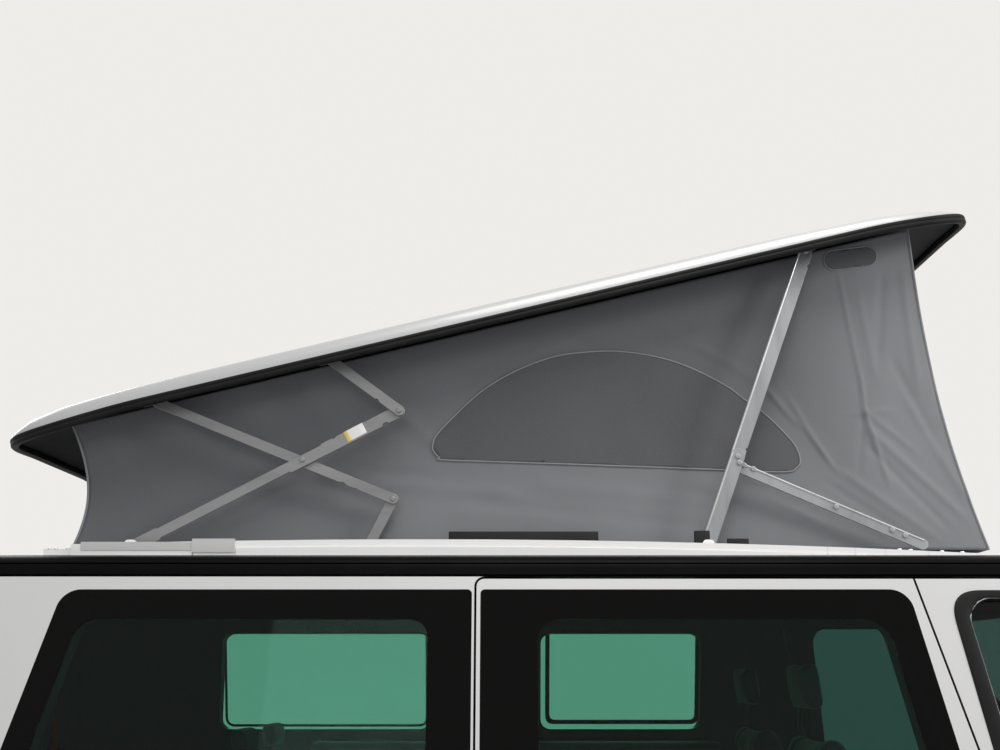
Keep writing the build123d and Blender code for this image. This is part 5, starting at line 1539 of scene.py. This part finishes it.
# tyres with tread blocks and rounded walls
tyre = {
    # radius, distance from the middle of the tread, from the outer bead to the middle
    "section": [(0.212, 0.094), (0.222, 0.101), (0.245, 0.1055), (0.275, 0.107), (0.300, 0.1045), (0.318, 0.099),
                (0.331, 0.090), (0.3365, 0.078), (0.3370, 0.049), (0.3372, 0.045), (0.3375, 0.016), (0.3375, 0.012)],
    "columns": 84,
    "height": 0.343,
    "centre": 0.814,
    "tread": 0.0055,
}
wheels = [("front_right", 1.545, -1), ("rear_right", -1.455, -1), ("front_left", 1.545, 1), ("rear_left", -1.455, 1)]
x, z = wheels[0][1], tyre["height"]


def tyreRing(radius, off):
    turns = [2 * math.pi * k / tyre["columns"] for k in range(tyre["columns"])]
    return [(x + radius * math.cos(turn), off - tyre["centre"], z + radius * math.sin(turn)) for turn in turns]


def treadBlock(middle, normal):
    # every other patch in each of the five rows
    reach = math.hypot(middle.x - x, middle.z - z)
    off = abs(middle.y + tyre["centre"])
    if reach < 0.334 or 0.012 < off < 0.016 or 0.045 < off < 0.049 or off > 0.082:
        return False
    turn = math.degrees(math.atan2(middle.z - z, middle.x - x)) % 360 / 360 * tyre["columns"]
    row = 0 if off < 0.012 else (1 if off < 0.045 else 2)
    return (int(turn) + row * (1 if middle.y + tyre["centre"] > 0 else 2)) % 4 != 0


def wheelBody(place):
    end, side = place.split("_")
    return "wheel_" + end[0] + side[0]


section = tyre["section"] + [(radius, -off) for radius, off in reversed(tyre["section"])]
first = band("tyreFrontRight", [tyreRing(radius, off) for radius, off in section + section[:1]])
pickFaces(first, treadBlock)
bpy.ops.mesh.extrude_region_shrink_fatten(TRANSFORM_OT_shrink_fatten={"value": tyre["tread"]})
bpy.ops.object.mode_set(mode="OBJECT")
roundEdges(first, 0.0009, 1, 50)
tyres = [first]
for place, axle, side in wheels[1:]:
    name = "tyre" + place.title().replace("_", "")
    tyres.append(copied(first, name, move=(axle - x, 0, 0), flip=side > 0))
for (place, _, _), piece in zip(wheels, tyres):
    dress(piece, "tyreRubber", wheelBody(place), 30)
    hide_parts("tyre_" + place)

# wheel bolts
wheelBolt = {"count": 5, "circle": 0.056, "radius": 0.0105}
for place, axle, side in wheels:
    parts = []
    for k in range(wheelBolt["count"]):
        turn = math.pi * (0.5 + 0.4 * k)
        px, pz = axle + wheelBolt["circle"] * math.cos(turn), tyre["height"] + wheelBolt["circle"] * math.sin(turn)
        hit = surfaceAt(["rim_" + place], (px, side * 1.3, pz), (0, -side, 0))
        if hit:
            bolt = rod("wheelBolt", (px, hit.y - side * 0.001, pz), (px, hit.y + side * 0.012, pz),
                       wheelBolt["radius"], 6)
            insetFaces(bolt, lambda middle, normal: normal.y * side > 0.9, 0.0025, 0.0015)
            parts.append(roundEdges(bolt, 0.0010))
    if parts:
        dress(joined("wheelBolts_" + place, parts), "castMetal", wheelBody(place))
print("tyres and wheel bolts made")


# worktop, door fronts and knobs of the kitchen
kitchen = {"front": 0.480, "rear": -1.296, "fore": 0.176, "top": 1.290, "thickness": 0.016, "step": 0.364}
near, top = kitchen["front"], kitchen["top"]
board = block("worktop", (kitchen["rear"], near - 0.012, top + 0.0005), (kitchen["fore"] + 0.008, 0.74, top + 0.022))
roundEdges(board, 0.006, 3)
insetFaces(board, lambda middle, normal: normal.z > 0.9, 0.030, -0.002)
dress(board, "worktop", "van")
fronts = []
for k in range(4):
    low = kitchen["rear"] + 0.012 + k * kitchen["step"]
    front = block("kitchenFront", (low, near - kitchen["thickness"], 0.600), (low + 0.352, near - 0.0005, 1.272))
    insetFaces(front, lambda middle, normal: normal.y < -0.9, 0.028, -0.003)
    knob = rod("kitchenKnob", (low + 0.176, near - 0.030, 1.215), (low + 0.176, near - 0.012, 1.215), 0.014)
    insetFaces(knob, lambda middle, normal: normal.y < -0.9, 0.004, -0.0015)
    fronts += [roundEdges(front, 0.0025), roundEdges(knob, 0.002)]
dress(joined("kitchenFronts", fronts), "cabinetBoard", "van")
print("kitchen made")
